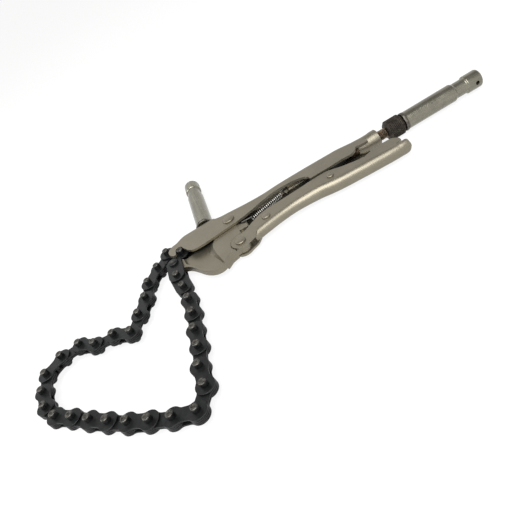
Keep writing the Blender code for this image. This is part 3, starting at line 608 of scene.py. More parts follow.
class Solid:
    """A closed mesh in millimetres about the middle plane, and what is done to it."""

    def __init__(self, bm: bmesh.types.BMesh) -> None:
        """Keeps a mesh as a scene object with its faces turned out.

        Args:
            bm: the mesh in millimetres; it is used up.
        """
        bmesh.ops.remove_doubles(bm, verts=bm.verts, dist=MERGE)
        bmesh.ops.recalc_face_normals(bm, faces=bm.faces)
        mesh = bpy.data.meshes.new("solid")
        bm.to_mesh(mesh)
        bm.free()
        self.object = shown(bpy.data.objects.new("solid", mesh))

    @classmethod
    def prism(cls, outline: list[Plan], low: float, high: float) -> Solid:
        """Returns the solid of an outline in the plan between two heights."""
        return cls.loft([[(x, y, low) for x, y in outline], [(x, y, high) for x, y in outline]])

    @classmethod
    def round_bar(cls, centre: Plan, radius: float, low: float, high: float, sides: int = 24) -> Solid:
        """Returns a round bar that stands on the plan between two heights."""
        return cls.prism(arc(centre, radius, 0, 360 - 360 / sides, sides - 1), low, high)

    @classmethod
    def slab(cls, outline: list[Plan], low: float, high: float, rim: float, steps: int = 4) -> Solid:
        """An outline between two heights with rounded rims.

        Args:
            outline: the outline, counterclockwise.
            low: lower height.
            high: upper height.
            rim: radius of the rims.
            steps: segments in each rim.

        Returns:
            The solid.
        """
        turns = np.radians(np.linspace(0, 90, steps + 1))
        levels = [(rim * (1 - math.sin(a)), low + rim * (1 - math.cos(a))) for a in turns]
        levels += [(inward, low + high - height) for inward, height in reversed(levels)]
        rings = []
        for inward, height in levels:
            rings.append([(x, y, height) for x, y in inset(outline, inward)])
        return cls.loft(rings)

    @classmethod
    def loft(cls, rings: list[list[Point]]) -> Solid:
        """Skins one ring of points after another and closes both ends.

        Args:
            rings: rings with the same number of points.

        Returns:
            The solid.
        """
        bm = bmesh.new()
        made = [[bm.verts.new(point) for point in ring] for ring in rings]
        for ring, after in zip(made, made[1:]):
            for i in range(len(ring)):
                bm.faces.new((ring[i - 1], ring[i], after[i], after[i - 1]))
        bm.faces.new(made[0])
        bm.faces.new(made[-1])
        return cls(bm)

    @classmethod
    def turned(cls, profile: list[Plan], sides: int, place: Matrix) -> Solid:
        """A profile of (distance along the axis, radius) spun round an axis.

        Args:
            profile: the profile, from axis to axis.
            sides: segments round the axis.
            place: what turns and moves +Z onto the axis.

        Returns:
            The solid.
        """
        bm = bmesh.new()
        points = [bm.verts.new((radius, 0, along)) for along, radius in profile]
        edges = [bm.edges.new(pair) for pair in zip(points, points[1:])]
        turn = {"cent": (0, 0, 0), "axis": (0, 0, 1), "angle": 2 * math.pi, "steps": sides}
        bmesh.ops.spin(bm, geom=points + edges, **turn)
        bm.transform(place)
        return cls(bm)

    @classmethod
    def rod(cls, start: float, end: float, radius: float, sides: int, place: Matrix) -> Solid:
        """Returns a plain rod from start to end along the axis of a placement."""
        return cls.turned([(start, 0), (start, radius), (end, radius), (end, 0)], sides, place)

    @classmethod
    def channel(cls, rows: list[list[float]], wall: float, side: int, folds: int = 10) -> Solid:
        """A folded U section lofted along x.

        Args:
            rows: stations of x, web's outer face, free edge, half width and outer fold radius.
            wall: sheet thickness.
            side: +1 for a web on the +Y side, -1 for one on the -Y side.
            folds: segments in each fold.

        Returns:
            The solid.
        """
        least_inner, edge_left, width_left = 0.3, 0.15, 0.1
        rings = []
        for x, back, edge, half, fold in rows:
            bend = min(fold, abs(edge - back) - edge_left, half - width_left)
            inner_bend = max(bend - wall, least_inner)
            skins = []
            for depth, radius, steps in ((0.0, bend, folds), (wall, inner_bend, folds // 2)):
                turns = np.radians(np.linspace(0, 90, steps + 1))
                skins.append([(edge, half - depth)] + [
                    (back - side * depth - side * radius * (1 - math.sin(a)),
                     half - depth - radius * (1 - math.cos(a))) for a in turns])
            outer, inner = skins
            section = outer + [(y, -z) for y, z in reversed(outer)]
            section += [(y, -z) for y, z in inner] + inner[::-1]
            rings.append([(x, y, z) for y, z in section])
        return cls.loft(rings)

    def combine(self, join: Join, others: list[Solid]) -> Solid:
        """Applies Booleans and removes the other solids.

        Args:
            join: how the others meet this solid.
            others: the other solids.

        Returns:
            This solid.
        """
        for other in others:
            step = self.object.modifiers.new("step", "BOOLEAN")
            step.operation = join.value
            step.solver = "EXACT"
            step.object = other.object
        self.settle()
        for other in others:
            other.drop()
        return self

    def union(self, *others: Solid) -> Solid:
        """Adds the others."""
        return self.combine(Join.ADD, list(others))

    def cut(self, *others: Solid) -> Solid:
        """Cuts the others away."""
        return self.combine(Join.CUT, list(others))

    def settle(self) -> Solid:
        """Turns the modifiers' result into the plain mesh.

        Returns:
            This solid.
        """
        result = plain_mesh(self.object)
        self.object.modifiers.clear()
        self.object.data = result
        return self

    def drop(self) -> None:
        """Removes the solid."""
        bpy.data.objects.remove(self.object, do_unlink=True)

    def soften(self, width: float, segments: int = 2, least_deg: float = 32.0) -> Solid:
        """Rounds the sharp edges.

        Args:
            width: how far the rounding reaches.
            segments: its segments.
            least_deg: edges flatter than this stay.

        Returns:
            This solid.
        """
        flat_deg = 0.5
        bm = bmesh.new()
        bm.from_mesh(self.object.data)
        bmesh.ops.remove_doubles(bm, verts=bm.verts, dist=MERGE_BEFORE_ROUNDING)
        bmesh.ops.dissolve_limit(bm, angle_limit=math.radians(flat_deg), verts=bm.verts, edges=bm.edges)
        bm.to_mesh(self.object.data)
        bm.free()
        bevel = self.object.modifiers.new("edges", "BEVEL")
        bevel.width = width
        bevel.segments = segments
        bevel.limit_method = "ANGLE"
        bevel.angle_limit = math.radians(least_deg)
        bevel.use_clamp_overlap = True
        bevel.miter_outer = "MITER_ARC"
        return self.settle()

    def publish(self, name: str, body: str, finish: bpy.types.Material, node: str, slot: Slot,
                sharp_deg: float = 42.0) -> bpy.types.Object:
        """Puts the solid into the frame as a piece of the object.

        Args:
            name: the piece's name.
            body: the body that it rides on.
            finish: its material.
            node: the CAD node that it stands for.
            slot: the record's material slot; it is not used.
            sharp_deg: edges sharper than this are shaded sharp.

        Returns:
            The piece.
        """
        made = self.object
        made.name = made.data.name = name
        made.data.transform(Matrix.Scale(MM, 4) @ Matrix.Translation((0, 0, MIDDLE)))
        made.data.materials.clear()
        made.data.materials.append(finish)
        made.data.shade_smooth()
        made.data.set_sharp_from_angle(angle=math.radians(sharp_deg))
        weigh = made.modifiers.new("weigh", "WEIGHTED_NORMAL")
        weigh.keep_sharp = True
        self.settle()
        made.data.name = name
        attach(made, body)
        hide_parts(node)
        log.info("%s: %d faces on %s", name, len(made.data.polygons), body)
        return made


class Along(Enum):
    """The direction of a turned piece in the plan."""

    HANDLE = "along the handle"
    ACROSS = "away from the handle"

    def place(self, x: float, y: float, lean_deg: float = 0.0) -> Matrix:
        """A matrix that turns +Z into the direction.

        Args:
            x: start along the handle.
            y: start across it.
            lean_deg: lean towards +X.

        Returns:
            The matrix.
        """
        if self is Along.HANDLE:
            return Matrix.Translation((x, y, 0)) @ Matrix.Rotation(math.pi / 2, 4, "Y")
        lean = Matrix.Rotation(math.radians(lean_deg), 4, "Y")
        return Matrix.Translation((x, y, 0)) @ Matrix.Rotation(-math.pi / 2, 4, "X") @ lean


# Geometry Nodes trees.


class Recipe(Tree):
    """A Geometry Nodes tree with named inputs, used once for each object and then turned into a mesh."""

    def __init__(self, name: str, inputs: dict[str, str]) -> None:
        """Starts a tree.

        Args:
            name: the tree's name.
            inputs: kinds of socket by input name; the material Finish comes after them.
        """
        super().__init__(bpy.data.node_groups.new(name, "GeometryNodeTree"))
        sockets = self.tree.interface
        self.keys = {}
        for key, kind in ({"Geometry": "Geometry"} | inputs | {"Finish": "Material"}).items():
            made = sockets.new_socket(key, in_out="INPUT", socket_type="NodeSocket" + kind)
            self.keys[key] = made.identifier
        sockets.new_socket("Geometry", in_out="OUTPUT", socket_type="NodeSocketGeometry")
        self.entry = self.tree.nodes.new("NodeGroupInput")

    def take(self, name: str) -> Signal:
        """Returns one of the tree's inputs."""
        return Signal(self, self.entry.outputs[name])

    def shape(self, name: str) -> Signal:
        """Returns the mesh of the object that an input holds."""
        return self.add("GeometryNodeObjectInfo", {}, {"Object": self.take(name)}, "Geometry")

    def vector(self, **parts: object) -> Signal:
        """Returns a vector with the given X, Y or Z."""
        return self.add("ShaderNodeCombineXYZ", {}, parts)

    def number(self) -> Signal:
        """Returns each point's number, from 0."""
        return self.add("GeometryNodeInputIndex", {}, {})

    def row(self, count: object, start: object, step: object) -> Signal:
        """Returns points in a straight row, from the first one's place and the way to the next."""
        values = {"Count": count, "Start Location": start, "Offset": step}
        return self.add("GeometryNodeMeshLine", {}, values)

    def copies(self, points: Signal, shape: Signal, **turn: Signal) -> Signal:
        """Returns copies of a shape on points, turned where Rotation is given."""
        return self.add("GeometryNodeInstanceOnPoints", {}, {"Points": points, "Instance": shape, **turn})

    def dressed(self, geometry: Signal) -> Recipe:
        """Ends the tree in Realize Instances and Set Material.

        Args:
            geometry: what the tree has made.

        Returns:
            This recipe.
        """
        real = self.add("GeometryNodeRealizeInstances", {}, {"Geometry": geometry})
        values = {"Geometry": real, "Material": self.take("Finish")}
        self.end("NodeGroupOutput", self.add("GeometryNodeSetMaterial", {}, values))
        return self

    def made(self, start: bpy.types.Object, values: dict) -> Solid:
        """Runs the tree on an object.

        Args:
            start: the object that carries the modifier; it is used up.
            values: the inputs by name.

        Returns:
            The resulting plain solid.
        """
        step = start.modifiers.new("recipe", "NODES")
        step.node_group = self.tree
        for key, value in values.items():
            step[self.keys[key]] = value
        bm = bmesh.new()
        bm.from_mesh(plain_mesh(start))
        bpy.data.objects.remove(start, do_unlink=True)
        return Solid(bm)


def empty_carrier() -> bpy.types.Object:
    """Returns an empty mesh object for a recipe that makes all its own geometry."""
    return shown(bpy.data.objects.new("carrier", bpy.data.meshes.new("carrier")))


def link_recipe() -> Recipe:
    """Builds the tree of one chain link: plates on both sides and pins at its ends.

    Returns:
        The recipe.
    """
    recipe = Recipe("chain link", {
        "Plate": "Object", "Pin": "Object", "Plate Height": "Float", "Pin Count": "Int",
        "First Pin": "Float", "Pitch": "Float",
    })
    height = recipe.take("Plate Height")
    stack = recipe.row(2, recipe.vector(Z=height * -1.0), recipe.vector(Z=height * 2.0))
    plates = recipe.copies(stack, recipe.shape("Plate"))
    first, pitch = (recipe.vector(X=recipe.take(name)) for name in ("First Pin", "Pitch"))
    pins = recipe.copies(recipe.row(recipe.take("Pin Count"), first, pitch), recipe.shape("Pin"))
    both = recipe.add("GeometryNodeJoinGeometry", {}, {0: plates})
    recipe.tree.links.new(pins.socket, both.socket.node.inputs[0])
    return recipe.dressed(both)


def rivet_recipe() -> Recipe:
    """Builds the tree of a rivet: one head turned over onto each side of the stack.

    Returns:
        The recipe.
    """
    recipe = Recipe("rivet", {"Head": "Object", "Seat": "Float"})
    values = {"Geometry": recipe.shape("Head"), "Translation": recipe.vector(Z=recipe.take("Seat"))}
    raised = recipe.add("GeometryNodeTransform", {}, values)
    ends = recipe.row(2, (0, 0, 0), (0, 0, 0))
    turn = recipe.vector(X=recipe.number() * math.pi)
    return recipe.dressed(recipe.copies(ends, raised, Rotation=turn))


def knurl_recipe() -> Recipe:
    """Builds the tree of a knurl round an axis along X, every other row half a step on.

    Returns:
        The recipe.
    """
    recipe = Recipe("knurl", {
        "Tooth": "Object", "Radius": "Float", "Columns": "Int", "Rows": "Int", "Start": "Float",
        "Row Pitch": "Float",
    })
    values = {"Vertices": recipe.take("Columns"), "Radius": recipe.take("Radius")}
    ring = recipe.add("GeometryNodeMeshCircle", {}, values)
    stood = recipe.add("GeometryNodeTransform", {}, {"Geometry": ring, "Rotation": (0, math.pi / 2, 0)})
    first, pitch = (recipe.vector(X=recipe.take(name)) for name in ("Start", "Row Pitch"))
    line = recipe.row(recipe.take("Rows"), first, pitch)
    turn = recipe.vector(X=recipe.number() * (math.pi / recipe.take("Columns")))
    rings = recipe.copies(line, stood, Rotation=turn)
    points = recipe.add("GeometryNodeRealizeInstances", {}, {"Geometry": rings})
    where = recipe.add("GeometryNodeInputPosition", {}, {})
    flat = {0: where, 1: (0.0, 1.0, 1.0)}
    outward = recipe.add("ShaderNodeVectorMath", {"operation": "MULTIPLY"}, flat)
    aim = recipe.add("FunctionNodeAlignRotationToVector", {"axis": "Z"}, {"Vector": outward})
    return recipe.dressed(recipe.copies(points, recipe.shape("Tooth"), Rotation=aim))


def wire_recipe() -> Recipe:
    """Builds the tree that gives a path a round section.

    Returns:
        The recipe.
    """
    recipe = Recipe("wire", {"Radius": "Float", "Sides": "Int"})
    path = recipe.add("GeometryNodeMeshToCurve", {}, {"Mesh": recipe.take("Geometry")})
    values = {"Resolution": recipe.take("Sides"), "Radius": recipe.take("Radius")}
    section = recipe.add("GeometryNodeCurvePrimitiveCircle", {}, values)
    values = {"Curve": path, "Profile Curve": section, "Fill Caps": True}
    return recipe.dressed(recipe.add("GeometryNodeCurveToMesh", {}, values))


# Sub-assemblies.


@dataclass
class FoldedHandle:
    """The fixed handle: one folded sheet with hooked front plates and a threaded barrel at its end.

    Its stations are x, the web's outer face and the free edge. The barrel's two tables are distances
    from its foot and from its lip, and how far its skin lies inside its radius there.
    """

    half_width: float = 7.4
    wall: float = 2.1
    bend: float = 5.2
    round_start: float = 111.0
    round_bend: float = 7.2
    hook: Plan = (-50.5, -0.9)
    notch_radius: float = 3.6
    barrel_radius: float = 8.0
    barrel_start: float = 129.0
    barrel_end: float = 150.0
    barrel_foot: Rows = ((0, 2.8), (1.5, 2.0), (4, 1.0), (7, 0.45))
    barrel_lip: Rows = ((7, 0.35), (5.6, 0), (0.6, 0), (0, 0.6))
    bore_radius: float = 5.05
    bore_start: float = 117.0
    lug_radius: float = 2.7
    lug_half: float = 1.2
    lug_root: float = 11.2
    lug_hole: float = 1.2
    step: float = 1.6
    softness: float = 0.42
    stations: Rows = (
        (-52, 13.2, 4.6), (-45.7, 17.3, 4.6), (-44.0, 18.0, -7.6), (-41.8, 18.5, -10.1),
        (-39.3, 18.7, -12.5), (-32.5, 18.7, -13.5), (-13, 18.7, -12), (-9.5, 16.2, -11.5),
        (-4, 14.6, -11.0), (5, 13.6, -9.9), (14, 12.3, -8.3), (20, 11.6, -6.6), (25.4, 11.2, -5.2),
        (31.2, 10.8, -3.1), (36.8, 10.7, -1.6), (42.8, 11.0, 0.3), (53.3, 11.8, 1.1),
        (63.2, 12, 0.4), (72.2, 12, -2.4), (77.6, 12, -6.6), (78.4, 12, -11.2), (88, 11.8, -11.3),
        (98.3, 11.4, -11.4), (108.6, 11.2, -10.8), (118.2, 10.6, -11.5), (124.4, 10.0, -8.4),
        (126.9, 9.7, -5.2), (131, 9.3, -6.2), (138, 8.6, -6.8),
    )
    tooth: Rows = (
        (-55.5, 9.2), (-58.6, 7.0), (-60.4, 4.2), (-60.4, 0), (-59.3, -2.9), (-57.6, -5.2),
        (-56.0, -5.9), (-54.6, -5.2),
    )
    plate_root: Rows = ((-43, -8.7), (-43, 13), (-52, 9.8))

    def sheet(self) -> Solid:
        """Lofts the channel, whose folds grow round towards the barrel.

        Returns:
            The channel.
        """
        rows = []
        for x, back, edge in eased(self.stations, self.step):
            share = (x - self.round_start) / (self.barrel_start - self.round_start)
            grown = smooth(min(max(share, 0.0), 1.0))
            rows.append([x, back, edge, self.half_width, self.bend + (self.round_bend - self.bend) * grown])
        return Solid.channel(rows, self.wall, 1)

    def barrel(self) -> Solid:
        """Turns the round barrel that the screw runs in.

        Returns:
            The barrel.
        """
        length, radius = self.barrel_end - self.barrel_start, self.barrel_radius
        profile = [(along, radius - drop) for along, drop in self.barrel_foot]
        profile += [(length - along, radius - drop) for along, drop in self.barrel_lip]
        place = Along.HANDLE.place(self.barrel_start, SCREW_LINE)
        return Solid.turned([(0, 0), *profile, (length, 0)], 64, place)

    def lug(self) -> Solid:
        """Makes the small lug inside the channel that holds the spring's eye.

        Returns:
            The lug.
        """
        near, far = SPRING_EYE[0] - self.lug_radius, SPRING_EYE[0] + self.lug_radius
        outline = [(far, self.lug_root), (near, self.lug_root)]
        outline += arc(SPRING_EYE, self.lug_radius, 180, 360, 14)
        made = Solid.prism(outline, -self.lug_half, self.lug_half)
        return made.cut(Solid.round_bar(SPRING_EYE, self.lug_hole, -THROUGH, THROUGH))

    def build(self) -> Solid:
        """Joins the sheet, its plates, the barrel and the lug, and bores the barrel.

        Returns:
            The handle.
        """
        inside = self.half_width - self.wall
        front = [*self.tooth, *arc(self.hook, self.notch_radius, 195, -10, 14), *self.plate_root]
        plates = [Solid.prism(front, inside, self.half_width), Solid.prism(front, -self.half_width, -inside)]
        body = self.sheet().union(*plates, self.barrel(), self.lug())
        reach = self.barrel_end - self.bore_start + 2
        bore = Solid.rod(0, reach, self.bore_radius, 36, Along.HANDLE.place(self.bore_start, SCREW_LINE))
        return body.cut(bore).soften(self.softness)

    def dress(self, finishes: Finishes) -> None:
        """Publishes the handle."""
        self.build().publish("handle_shell", "fixed_handle", finishes.nickel, "fixed_handle", Slot.NICKEL)


@dataclass
class JawForging:
    """The lower jaw: a flat forging with a scooped pocket and a thick block round the pivots.

    The scoop's table is shares of the pocket's mouth and heights above its floor. The bores' table is
    radii, for the pivots that they belong to.
    """

    core: float = 2.75
    boss: float = 5.0
    floor: float = 0.95
    rim: float = 0.7
    corner: float = 1.6
    tip_radius: float = 5.0
    heel_radius: float = 7.0
    ear_radius: float = 4.0
    pivot_radius: float = 8.8
    back_radius: float = 9.1
    block_corner: float = 3.0
    block_sink: float = 0.25
    block_edge: float = 0.9
    block_slope: float = 1.5
    mouth_corner: float = 2.2
    tab_corner: float = 0.9
    tab_heights: Plan = (2.15, 4.6)
    throat: Rows = ((6.2, -24), (7.0, -18))
    scoop: Rows = ((1.06, 4.0), (1.0, 1.9), (0.95, 0.75), (0.90, 0.15), (0.86, 0.0))
    bores: tuple[tuple[Plan, float], ...] = (
        (JAW_PIVOT, 4.3), (LEVER_PIVOT, 3.3), (SPRING_EAR, 1.2), (CHAIN_ANCHOR, 3.15),
    )
    belly: Rows = (
        (-56, -20.0), (-52.9, -22.0), (-49, -24.5), (-46, -28), (-42.5, -33.5), (-39, -39.5),
        (-36, -43.5), (-32.5, -46.8), (-28.7, -49), (-24.2, -49.8), (-20.3, -48.6), (-16.5, -45.3),
        (-13.6, -42.8), (-9, -41.4),
    )
    crest: Rows = ((-13.5, 1.2), (-22, -3.5), (-32, -6.8), (-42, -9.2), (-48, -10.4), (-52.5, -10.0))
    pocket: Rows = (
        (-52, 1), (-50.5, -14), (-49.6, -20.6), (-45, -25.8), (-40.9, -33), (-37.3, -38.7), (-34.4, -42.2),
        (-31, -45), (-27.8, -46.7), (-24.4, -47.3), (-21.2, -46.4), (-17, -42.5), (-15, -25), (-15, 2),
    )
    block_top: Rows = (
        (-12, -3), (-17, -10.2), (-21.1, -14.9), (-22.9, -21.8), (-21.9, -33.2), (-19.9, -43.4),
        (-18.6, -52), (-10, -52), (-5, -46),
    )
    block_foot: Rows = (
        (-16, -1.5), (-23.5, -8.5), (-28, -13.5), (-29.6, -20.2), (-25.6, -29.4), (-22, -39),
        (-19.6, -52), (-10, -52), (-5, -46),
    )
    block_back: Rows = ((4, -25.3), (4, -7.4), (-2, 0))
    ear_tab: Rows = ((4.0, -10.6), (4.0, -20.2), (11.9, -20.6), (12.2, -15.4), (8.6, -13.4))

    def outline(self) -> list[Plan]:
        """Joins the arcs round the pivots with the belly and the crest.

        Returns:
            The forging's outline.
        """
        points = [
            *arc(CHAIN_ANCHOR, self.tip_radius, 60, 285, 14), *self.belly,
            *arc(LEVER_PIVOT, self.heel_radius, 235, 380, 12), *self.throat,
            *arc(SPRING_EAR, self.ear_radius, -75, 75, 10),
            *arc(JAW_PIVOT, self.pivot_radius, -20, 150, 14), *self.crest,
        ]
        return rounded(points, self.corner, 3, 6.0)

    def block(self) -> Solid:
        """Lofts the thick block between the pocket and the pivots, with its sloped round wall.

        Returns:
            The block.
        """
        back = arc(LEVER_PIVOT, self.back_radius, 218, 97, 8) + list(self.block_back)
        fronts = (self.block_top, self.block_foot)
        top, foot = (np.array(rounded([*front, *back], self.block_corner, 5, 0.0)) for front in fronts)
        rings = []
        for share in np.linspace(0, 1, 9):
            height = self.boss - (self.boss - self.floor + self.block_sink) * share
            rolled = self.block_edge * max(0.0, 1 - 8 * share) ** 2
            spots = top + (foot - top) * share**self.block_slope
            ring = inset([tuple(spot) for spot in spots], rolled)
            rings.append([(x, y, height) for x, y in ring])
        lower = [[(x, y, -z) for x, y, z in ring] for ring in reversed(rings)]
        whole = Solid.prism(self.outline(), -THROUGH, THROUGH)
        return Solid.loft(rings + lower).combine(Join.COMMON, [whole])

    def scoops(self) -> list[Solid]:
        """Lofts the two hollows that leave the pocket's floor between them.

        Returns:
            The two solids to cut away.
        """
        mouth = rounded(list(self.pocket), self.mouth_corner, 4, 4.0)
        middle = Vector(np.mean(mouth, axis=0))
        made = []
        for side in (1, -1):
            rings = []
            for share, above in self.scoop:
                ring = [middle + share * (Vector(point) - middle) for point in mouth]
                rings.append([(spot.x, spot.y, side * (self.floor + above)) for spot in ring])
            made.append(Solid.loft(rings))
        return made

    def build(self) -> Solid:
        """Cuts the pocket, adds the block, the pivot's boss and the spring's ear, and bores them.

        Returns:
            The forging.
        """
        body = Solid.prism(self.outline(), -self.core, self.core)
        for scoop in self.scoops():
            body.cut(scoop)
        pivot = Solid.round_bar(JAW_PIVOT, self.pivot_radius, -self.boss, self.boss, 40)
        tab = Solid.prism(rounded(list(self.ear_tab), self.tab_corner, 3), *self.tab_heights)
        body.union(self.block(), pivot, tab)
        body.cut(*(Solid.round_bar(spot, radius, -THROUGH, THROUGH) for spot, radius in self.bores))
        return body.soften(self.rim, 3, 34)

    def dress(self, finishes: Finishes) -> None:
        """Publishes the jaw."""
        self.build().publish("jaw_forging", "lower_jaw", finishes.nickel, "lower_jaw", Slot.NICKEL)


@dataclass
class LeverGrip:
    """The lever handle: a fork round the jaw that widens into a rolled channel grip.

    Its stations are x, the web's outer face, the free edge and the share of the grip's full width.
    """

    wall: float = 2.0
    bend: float = 5.8
    fork_in: float = 3.15
    fork_out: float = 5.15
    fork_radius: float = 8.6
    fork_front: Rows = ((17, -33.5), (12.5, -38.6))
    fork_back: Rows = ((7.5, -25.8), (12.5, -22.4), (17, -19.5))
    rear: float = 6.4
    end_round: float = 3.9
    step: float = 0.9
    softness: float = 0.4
    stations: Rows = (
        (12.5, -37.6, -22.5, 0), (20, -35.5, -18.1, 0), (28, -33.6, -14.6, 0), (36.5, -31.8, -13.6, 0),
        (46.7, -30.2, -13.2, 0.04), (56, -29.4, -13.4, 0.3), (67, -29.8, -13.4, 0.6),
        (77.7, -30.6, -13.0, 0.87), (85, -32.2, -13.0, 1), (92, -33.6, -13.2, 1), (98, -34.5, -15.4, 1),
        (105, -35.2, -18.8, 1), (113, -35.8, -21.4, 1), (121.6, -36.6, -24.0, 1), (128, -37, -26.0, 1),
        (135, -37.4, -27.8, 1), (143, -37.9, -29.6, 1), (149, -38, -31.2, 1), (154.5, -37.6, -32.4, 1),
        (159, -36.6, -32.2, 1), (161.6, -35.4, -31.6, 1),
    )

    def build(self) -> Solid:
        """Lofts the channel with its rolled end and adds the fork.

        Returns:
            The lever.
        """
        rows = []
        for x, back, edge, share in eased(self.stations, self.step):
            half = self.fork_out + (self.rear - self.fork_out) * share
            past = max(0.0, x - self.stations[-1][0] + self.end_round)
            narrowed = half - self.end_round + math.sqrt(max(0.0, self.end_round**2 - past**2))
            rows.append([x, back, edge, narrowed, self.bend])
        body = Solid.channel(rows, self.wall, -1)
        fork = [*self.fork_front, *arc(LEVER_PIVOT, self.fork_radius, 305, 95, 20), *self.fork_back]
        upper = Solid.prism(fork, self.fork_in, self.fork_out)
        lower = Solid.prism(fork, -self.fork_out, -self.fork_in)
        return body.union(upper, lower).soften(self.softness)

    def dress(self, finishes: Finishes) -> None:
        """Publishes the lever."""
        self.build().publish("lever_shell", "lever", finishes.nickel, "lever_handle", Slot.NICKEL)


@dataclass
class InnerLinkage:
    """The toggle link and the release lever inside the channels."""

    nose: Plan = (114.4, 1.1)
    hub_radius: float = 6.0
    nose_radius: float = 3.6
    toggle_side: float = 4.6
    toggle_half: float = 2.55
    toggle_rim: float = 0.5
    release_half: float = 2.6
    release_boss: float = 4.2
    release_corner: float = 1.2
    tab_half: float = 4.1
    tab_wall: float = 1.6
    tab_bend: float = 3.7
    step: float = 1.6
    softness: float = 0.35
    release_body: Rows = (
        (75.2, -18.4), (76.2, -16.6), (78.4, -16.2), (88, -18.2), (97, -18.3), (110, -20.0),
        (121, -22.0), (127, -22.6), (127, -27.6), (121, -27.2), (108, -26.6), (97, -26.4),
        (88, -26.3), (80, -23.0),
    )
    release_tab: Rows = (
        (119, -21.6, -27.2), (125, -18.6, -27.8), (131, -16.4, -28.2), (137, -15.0, -28.4),
        (143, -14.4, -28.7), (149, -14.4, -28.6), (153, -14.9, -28.0), (156, -16.6, -27.2),
        (158.2, -19.6, -26.2),
    )

    def toggle(self) -> Solid:
        """Draws the toggle link between its hub and its nose.

        Returns:
            The link.
        """
        hub = Vector(TOGGLE_PIVOT)
        run = Vector(self.nose) - hub
        tilt = math.degrees(math.atan2(run.y, run.x))
        side = Vector((-run.y, run.x)).normalized() * self.toggle_side
        points = arc(TOGGLE_PIVOT, self.hub_radius, tilt + 60, tilt + 300, 18)
        points += [tuple(hub + run * share - side) for share in (0.2, 0.8)]
        points += arc(self.nose, self.nose_radius, tilt - 80, tilt + 80, 12)
        points += [tuple(hub + run * share + side) for share in (0.8, 0.2)]
        return Solid.slab(points, -self.toggle_half, self.toggle_half, self.toggle_rim, 3)

    def release_lever(self) -> Solid:
        """Joins the release lever's body, boss and thumb tab.

        Returns:
            The lever.
        """
        outline = rounded(list(self.release_body), self.release_corner, 3)
        body = Solid.prism(outline, -self.release_half, self.release_half)
        rows = [[*row, self.tab_half, self.tab_bend] for row in eased(self.release_tab, self.step)]
        boss = Solid.round_bar(RELEASE_PIVOT, self.release_boss, -self.tab_half, self.tab_half)
        return body.union(Solid.channel(rows, self.tab_wall, 1), boss).soften(self.softness)

    def dress(self, finishes: Finishes) -> None:
        """Publishes both links."""
        self.toggle().publish("toggle_bar", "toggle", finishes.black, "toggle_link", Slot.BLACK)
        self.release_lever().publish("thumb_lever", "release", finishes.nickel, "release_lever", Slot.NICKEL)


@dataclass
class GripStud:
    """A round stud with a turned neck, a cross hole and a bead of weld at its foot.

    Each shoulder has the distance that it starts before its nominal place, and its run.
    """

    name: str
    body: str
    length: float
    foot: Plan
    along: Along
    hole_axis: str
    lean_deg: float = 0.0
    radius: float = 7.9375
    neck_radius: float = 6.8
    neck_length: float = 11.0
    head_length: float = 14.5
    neck_shoulder: Plan = (1.6, 2.4)
    head_shoulder: Plan = (0.6, 1.8)
    end_round: float = 1.8
    end_dimple: Rows = ((0.25, 1.5), (0.45, 0))
    hole_radius: float = 1.8
    hole_share: float = 0.4
    weld_spread: float = 1.1
    weld_height: float = 3.2
    weld_tuck: float = 0.25
    weld_steps: int = 8
    sides: int = 72

    def profile(self) -> list[Plan]:
        """Draws the stud's half section with rounded shoulders.

        Returns:
            Distances along the axis and radii.
        """
        head = self.length - self.head_length
        drop = self.radius - self.neck_radius
        points = [(0, 0), (0, self.radius)]
        for place, (before, run), start, change in (
            (head - self.neck_length, self.neck_shoulder, self.radius, -drop),
            (head, self.head_shoulder, self.neck_radius, drop),
        ):
            points += [(place - before + run * s, start + change * smooth(s)) for s in np.linspace(0, 1, 6)]
        for a in np.radians(np.linspace(0, 90, 7)):
            along, inward = 1 - math.sin(a), 1 - math.cos(a)
            points.append((self.length - self.end_round * along, self.radius - self.end_round * inward))
        return points + [(self.length - sunk, radius) for sunk, radius in self.end_dimple]

    def bead(self, place: Matrix) -> Solid:
        """The rippled weld bead round the foot.

        Args:
            place: the stud's placement.

        Returns:
            The bead.
        """
        rings = []
        for i in range(self.weld_steps + 1):
            a = math.pi * i / self.weld_steps
            tuck = self.weld_tuck if i in (0, self.weld_steps) else 0.0
            ring = []
            for j in range(self.sides):
                turn = 2 * math.pi * j / self.sides
                ripple = 0.7 + 0.18 * math.sin(9 * turn + 0.6 * math.sin(2 * turn))
                ripple += 0.12 * math.sin(4 * turn + 1.3)
                out = self.radius + self.weld_spread * ripple * math.sin(a) - tuck
                up = self.weld_height * (0.5 - 0.5 * math.cos(a)) * (0.9 + 0.1 * ripple)
                ring.append(tuple(place @ Vector((out * math.cos(turn), out * math.sin(turn), up))))
            rings.append(ring)
        return Solid.loft(rings)

    def dress(self, finishes: Finishes) -> None:
        """Publishes the stud and its weld.

        Args:
            finishes: the shared finishes.
        """
        place = self.along.place(*self.foot, self.lean_deg)
        stud = Solid.turned(self.profile(), self.sides, place)
        across = place @ Matrix.Translation((0, 0, self.length - self.hole_share * self.head_length))
        across = across @ Matrix.Rotation(math.pi / 2, 4, self.hole_axis)
        stud.cut(Solid.rod(-THROUGH, THROUGH, self.hole_radius, 28, across))
        zinc = finishes.zinc_along if self.along is Along.HANDLE else finishes.zinc_across
        stud.publish(self.name, self.body, zinc, self.name, Slot.ZINC)
        weld = self.name + "_weld"
        self.bead(place).publish(weld, self.body, finishes.weld, weld, Slot.WELD)


